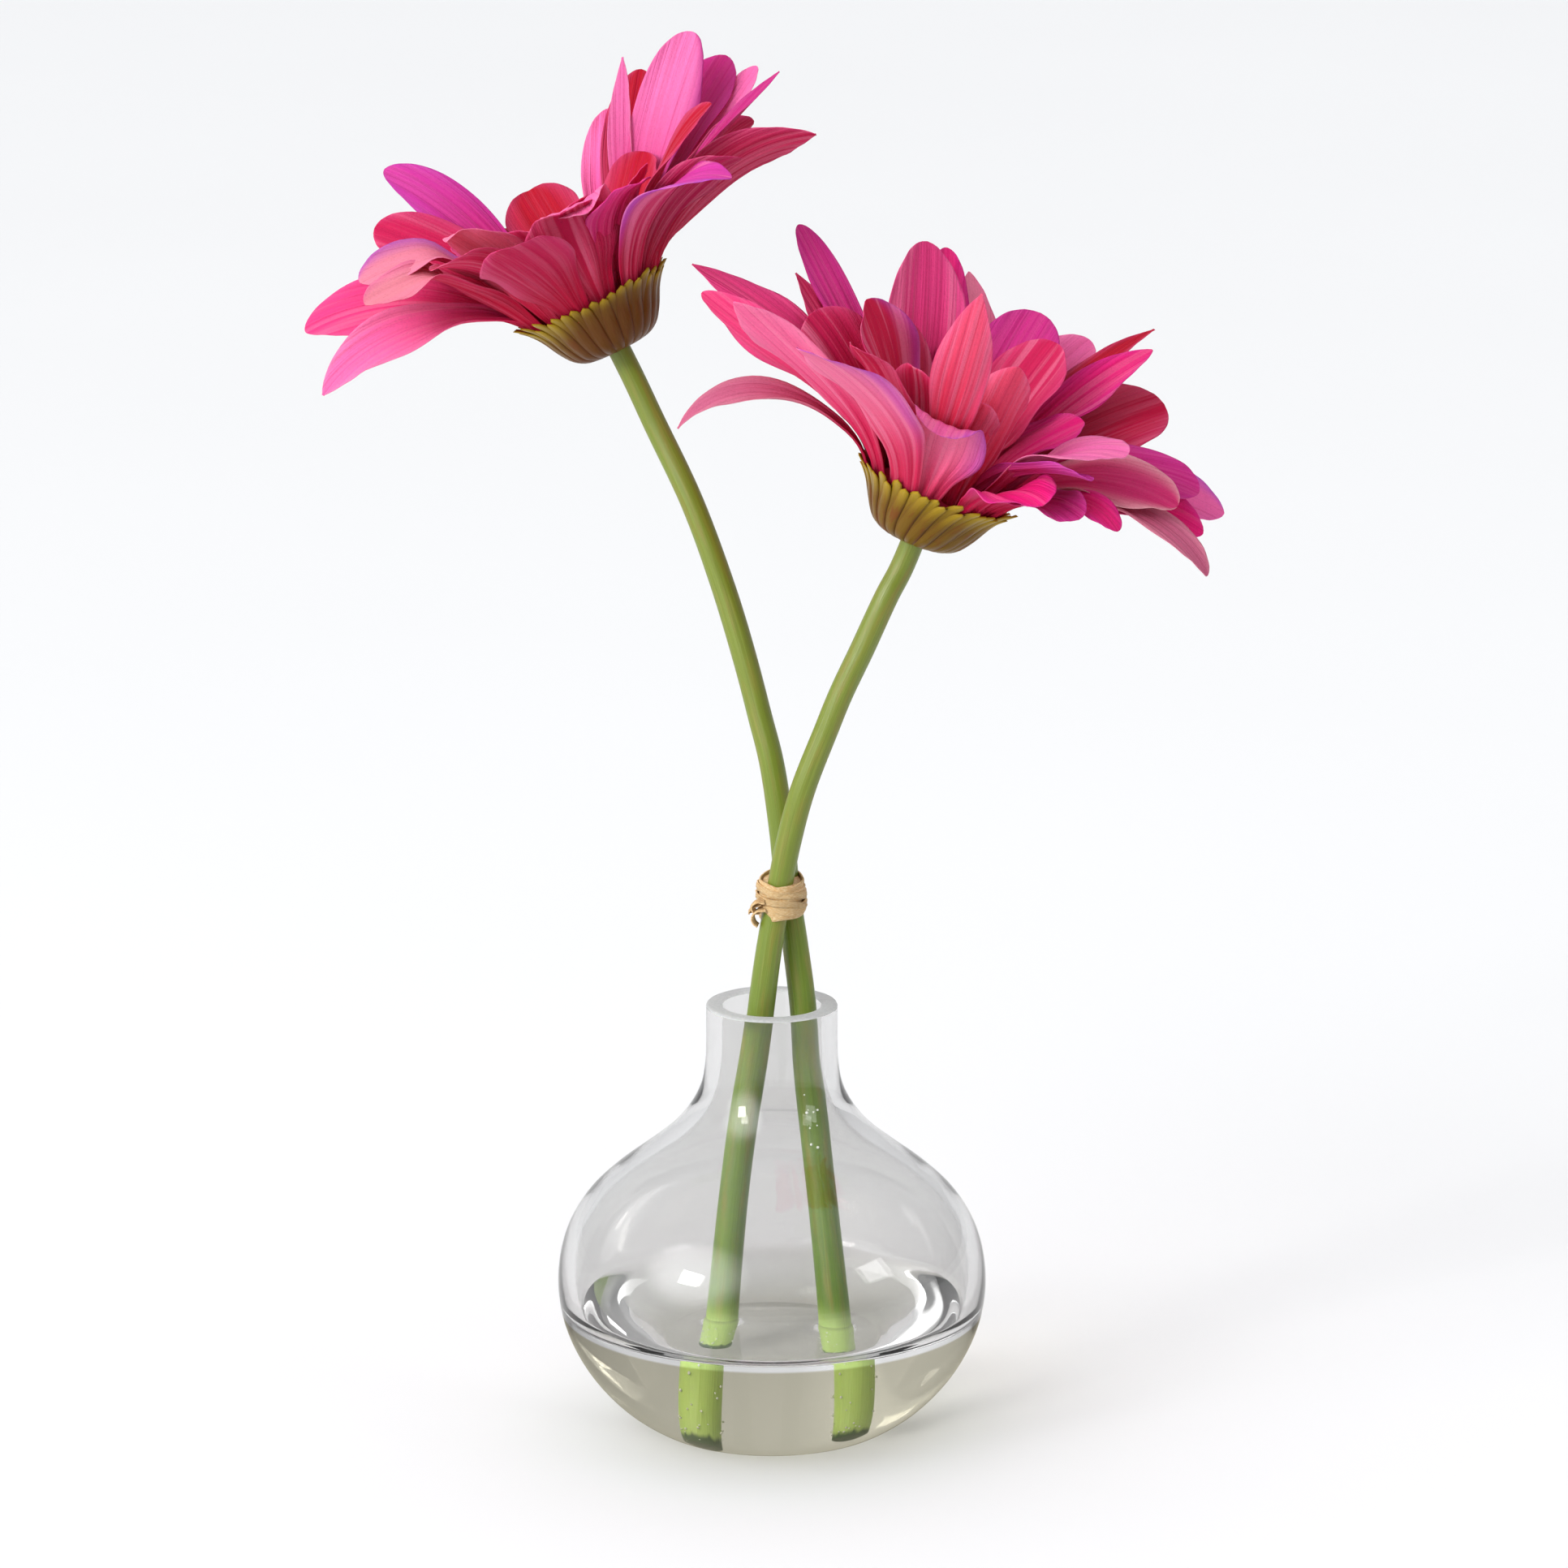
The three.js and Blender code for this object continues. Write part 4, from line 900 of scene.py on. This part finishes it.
def add_petal(shape, ring, index, number, petal):
    """A thin cupped blade with lengthwise grooves and a ruffled edge."""
    shares = 1 - (1 - np.linspace(0, 1, BLADE_ROWS + 1)) ** 1.5
    along = shares[:, None]
    centres, normals, ways, cup = petal_spine(ring, index, petal, shares)
    outline = np.array([outline_share(share, petal.pointed) for share in shares])
    half = np.maximum(petal.width / 2 * outline, LEAST_HALF_WIDTH)[:, None]
    u = np.linspace(-1, 1, BLADE_COLUMNS + 1)
    bow = np.outer(cup, u)
    reach = half / cup[:, None]
    base = (centres[:, None] + ways[:, None] * (reach * np.sin(bow))[..., None]
            + normals[:, None] * (reach * (1 - np.cos(bow)))[..., None])
    up = normals[:, None] * np.cos(bow)[..., None] - ways[:, None] * np.sin(bow)[..., None]
    spread = RINGS[ring]["spread"] * (1 - along) ** 2
    base = base + polar(1, math.radians(petal.azimuth)) * spread[..., None]
    phase = DRAW.uniform(0, FULL_TURN)
    drift = DRAW.uniform(-0.6, 0.6)
    waves = DRAW.uniform(1.6, 2.6)
    lean = DRAW.uniform(0, FULL_TURN)
    other = DRAW.uniform(0, FULL_TURN)
    # Grooves and stripes fan out from the root, then run on side by side and end at the tip's edge
    lane = np.outer(np.where(shares > WIDEST, outline, 1), u)
    grown = np.minimum(1, along / 0.14) * np.minimum(1, half / 4)
    grooves = GROOVE_DEPTH * (1 - 0.35 * along) * np.cos(math.pi * GROOVES * lane + phase + drift * along)
    pleats = PLEAT_DEPTH * (1 - along) * np.cos(math.pi * PLEATS * lane + other)
    swell = np.minimum(1, along / 0.3) * np.minimum(1, half / 5)
    ruffles = [
        np.sin(FULL_TURN * waves * along + start) * np.clip(edge * u, 0, 1) ** 2.5
        for edge, start in ((1, lean), (-1, other))
    ]
    push = grown * (grooves + pleats) + RUFFLE * swell * (ruffles[0] + ruffles[1])
    base = base + up * push[..., None]
    skin = (BLADE_THICKNESS + (EDGE_THICKNESS - BLADE_THICKNESS) * np.abs(u) ** 3) / 2 * (1 - 0.4 * along)
    over = base + up * skin[..., None]
    under = (base - up * skin[..., None])[:, ::-1]
    columns = BLADE_COLUMNS + 1
    count = 2 * columns
    last = BLADE_ROWS * count
    quads = [(a, d, c, b) for a, b, c, d in loop_faces(BLADE_ROWS + 1, count)]
    for j in range(BLADE_COLUMNS):
        mirror = count - 1 - j
        quads.append((j, j + 1, mirror - 1, mirror))
        quads.append((last + mirror, last + mirror - 1, last + j + 1, last + j))
    # Values of the points, whose loops run over the upper face and back underneath
    below = np.repeat((0, 1), columns)
    round_u = np.concatenate([u, u[::-1]])
    fade = smooth(np.clip((along - 0.15) / 0.7, 0, 1))[..., None]
    top_root, top_tip, under_root, under_tip = np.array(DYES[petal.dye]) * DRAW.uniform(0.9, 1.06)
    top_dye = top_root + (top_tip - top_root) * fade
    under_dye = under_root + (under_tip - under_root) * fade
    colour = np.where(below[:, None], under_dye, top_dye)
    edge_dye, less, more = EDGES.get(petal.dye, PLAIN_EDGE)
    tint = np.clip((np.abs(round_u) - 1 + EDGE_TINT) / EDGE_TINT, 0, 1) ** 1.5
    tint = (tint * np.where(round_u < 0, less, more))[:, None] * np.clip(fade * 2, 0, 1)
    colour = colour + (np.array(edge_dye) - colour) * tint
    lanes = np.hstack([lane, lane[:, ::-1]])
    shape.add(
        np.concatenate([over, under], 1), quads,
        dye=np.concatenate([colour, np.ones((*lanes.shape, 1))], -1),
        blade=np.stack(np.broadcast_arrays(lanes, along, number), -1),
        under=np.broadcast_to(below, lanes.shape), stripes=np.full(lanes.shape, petal.stripes),
    )


def make_petals(side, material):
    """All the petals of a bloom, with the core that holds them."""
    shape = Shape()
    number = 0
    for ring in RINGS:
        for index, row in enumerate(PETALS[side, ring]):
            number += 1
            add_petal(shape, ring, index, number, Petal(*row))
    shape.lathe(CORE, CORE_SIDES, dye=(0.5, 0.03, 0.1, 1), blade=(0, 0, 0), under=1, stripes=0)
    shape.make(f"fabric_petals_{side}", material, "petal", f"petals_{side}", bloom=side)


def dome_height(rise):
    return DISC_BASE + DISC_HEIGHT * (DOME_FOOT + DOME_RISE * rise)


def make_disc(side, material):
    """Small florets in a sunflower spiral over a dome."""
    shape = Shape()
    dome = [(DISC_RADIUS * math.cos(a), dome_height(math.sin(a))) for a in np.linspace(0.25, 1.4, 6)]
    foot = [(0, DISC_BASE), (DISC_RADIUS, DISC_BASE), (DISC_RADIUS, dome_height(0))]
    shape.lathe([*foot, *dome, (0, dome_height(1))], DOME_SIDES, place=(0, 0, 0.5))
    turns = circle(FLORET_SIDES)
    for i in range(FLORETS):
        out = math.sqrt((i + 0.5) / FLORETS) * 0.98
        turn = i * GOLDEN_ANGLE
        foot = polar(out * DISC_RADIUS, turn, dome_height(math.sqrt(max(0, 1 - (out * 0.98) ** 2))))
        lean = out * 0.8
        axis = polar(math.sin(lean), turn, math.cos(lean))
        right = unit(np.cross(axis, (0.3, 0.9, 0.1)))
        tall = 1 + 0.7 * out + DRAW.uniform(-0.15, 0.15)
        girth = 0.3 + 0.13 * out
        loop = np.outer(np.cos(turns), right) + np.outer(np.sin(turns), np.cross(axis, right))
        rows, places = [], []
        for share, swell in FLORET_ROWS:
            rows.append(foot + axis * tall * share + loop * girth * swell)
            places += [(b + i, max(0, share), out) for b in turns]
        shape.add(np.vstack(rows), capped_faces(len(rows), FLORET_SIDES), place=places)
    shape.make(f"disc_florets_{side}", material, "disc", f"disc_{side}", bloom=side)


def add_ribbon(shape, centres, ways, outs, half_widths, number, skin, closed):
    """A thin ribbon along centres; ways point across it and outs point out of its face."""
    u = np.linspace(-1, 1, RIBBON_COLUMNS)
    rows, places = [], []
    for k, (centre, way, out, half) in enumerate(zip(centres, ways, outs, half_widths)):
        ripple = 0.1 * np.sin(3.1 * u + 0.105 * k + number * 2.3) + 0.07 * np.sin(9 * u + number)
        flat = centre + np.outer(u * half, way) + np.outer(ripple, out)
        rows += [flat + out * skin, (flat - out * skin)[::-1]]
        places += [(k * 0.2, x, number) for x in (*u, *u[::-1])]
    count, sides = len(centres), 2 * RIBBON_COLUMNS
    faces = loop_faces(count, sides, close=True) if closed else capped_faces(count, sides)
    shape.add(np.vstack(rows), faces, place=places)


def make_tie(material):
    """Flat raffia wound round both stems in turns that cross, with a small knot and its ends."""
    shape = Shape()
    turns = circle(WRAP_STEPS)
    outs = unit(np.stack([np.cos(turns) / TIE_HALF_WIDTH, np.sin(turns) / TIE_HALF_DEPTH, 0 * turns], 1))
    ways = np.tile((0, 0, 1), (WRAP_STEPS, 1))
    for number, (height, tilt, phase, grow, half) in enumerate(WRAPS):
        wobble = 0.12 * np.sin(2 * turns + number * 1.7) + 0.06 * np.sin(5 * turns + number)
        x = (TIE_HALF_WIDTH + grow + wobble) * np.cos(turns)
        y = (TIE_HALF_DEPTH + grow + wobble) * np.sin(turns)
        z = height + tilt * np.cos(turns + phase) + 0.15 * np.sin(3 * turns + number)
        line = np.stack([x, y, z], 1) + TIE_CENTRE
        widths = half * (1 + 0.12 * np.sin(2 * turns + number * 2.1))
        add_ribbon(shape, line, ways, outs, widths, number, WRAP_SKIN, closed=True)
    plug = Shape()
    plug.lathe(TIE_FILLING, FILLING_SIDES)
    filling = plug.points[0] * (TIE_HALF_WIDTH, TIE_HALF_DEPTH, 1) + TIE_CENTRE
    shape.add(filling, plug.faces, place=filling * (0.7, 0.3, 1))
    for number, route in enumerate(RAFFIA_ENDS, 10):
        line = catmull_rom(route, 8) + TIE_CENTRE
        along = unit(np.gradient(line, axis=0))
        outs = unit(np.cross(along, (0.3, 1, 0.2)))
        taper = np.linspace(1.2, 0.8, len(line))
        add_ribbon(shape, line, unit(np.cross(outs, along)), outs, taper, number, END_SKIN, closed=False)
    shape.make("raffia_ribbon", material, "raffia", "raffia_tie")


def make_floor():
    g = Graph("pale_floor")
    colour = g.blend(g.noise(g.position(), 3, 2), (0.79, 0.79, 0.79), (0.81, 0.81, 0.81))
    pale = g.principled(colour, 0.9, {"Specular IOR Level": 0.1})
    mesh = bpy.data.meshes.new("floor")
    corners = [(x * FLOOR_HALF, y * FLOOR_HALF, 0) for x, y in ((-1, -1), (1, -1), (1, 1), (-1, 1))]
    mesh.from_pydata(corners, [], [(0, 1, 2, 3)])
    mesh.materials.append(g.finish(pale))
    floor = add_object("floor", mesh)
    floor.location.z = -FLOOR_DROP


def aim(thing, target):
    thing.rotation_euler = (Vector(target) - thing.location).to_track_quat("-Z", "Y").to_euler()


def make_lamp(name, place, size, watts, colour):
    lamp = bpy.data.lights.new(name, "AREA")
    lamp.shape = "SQUARE"
    lamp.size = size
    lamp.energy = watts
    lamp.color = colour
    thing = add_object(name, lamp)
    thing.location = place
    aim(thing, LIT_POINT)


def make_studio():
    """Soft light: a pale surround that darkens low down, a large key from the left and a weak fill."""
    g = Graph("studio", bpy.data.worlds, "OutputWorld")
    toward = g.add("TexCoord").outputs["Generated"]
    strength = SURROUND
    for part, slope in zip(g.split(toward), SURROUND_SLOPES):
        strength = g.times(part, slope, strength)
    key = g.add("VectorMath", {0: toward, 1: Vector(KEY_FROM).normalized()}, operation="DOT_PRODUCT")
    glow = g.span(key.outputs["Value"], GLOW_EDGE, 1, 0, KEY_GLOW)
    strength = g.math("ADD", strength, glow)
    shade = g.out("Background", {"Color": (0.97, 0.98, 1), "Strength": strength})
    bpy.context.scene.world = g.finish(shade)
    make_lamp("key", KEY_FROM, 0.4, 13, (1, 0.985, 0.96))
    make_lamp("fill", FILL_FROM, 0.5, 3, (0.97, 0.98, 1))
    bpy.context.scene.view_settings.view_transform = "Standard"


def make_camera():
    camera = bpy.data.cameras.new("camera")
    camera.lens = CAMERA_LENS
    camera.sensor_width = SENSOR
    thing = add_object("camera", camera)
    drop = math.radians(CAMERA_DROP)
    aim_at = Vector(CAMERA_AIM) * MM
    thing.location = aim_at + Vector((0, -math.cos(drop), math.sin(drop))) * CAMERA_DISTANCE * MM
    aim(thing, aim_at)
    bpy.context.scene.camera = thing


make_camera()
make_studio()
make_floor()

stem_green = stem_plastic()
calyx_olive = calyx_plastic()
petal_dyed = petal_fabric()
floret_soft = floret_fabric()

make_vase(clear_glass(), ground_glass())
make_bubbles(bubble_painted_glint())
for bloom_side in BLOOMS:
    make_stem(bloom_side, stem_green)
    make_calyx(bloom_side, calyx_olive)
    make_petals(bloom_side, petal_dyed)
    make_disc(bloom_side, floret_soft)
make_tie(raffia_straw())
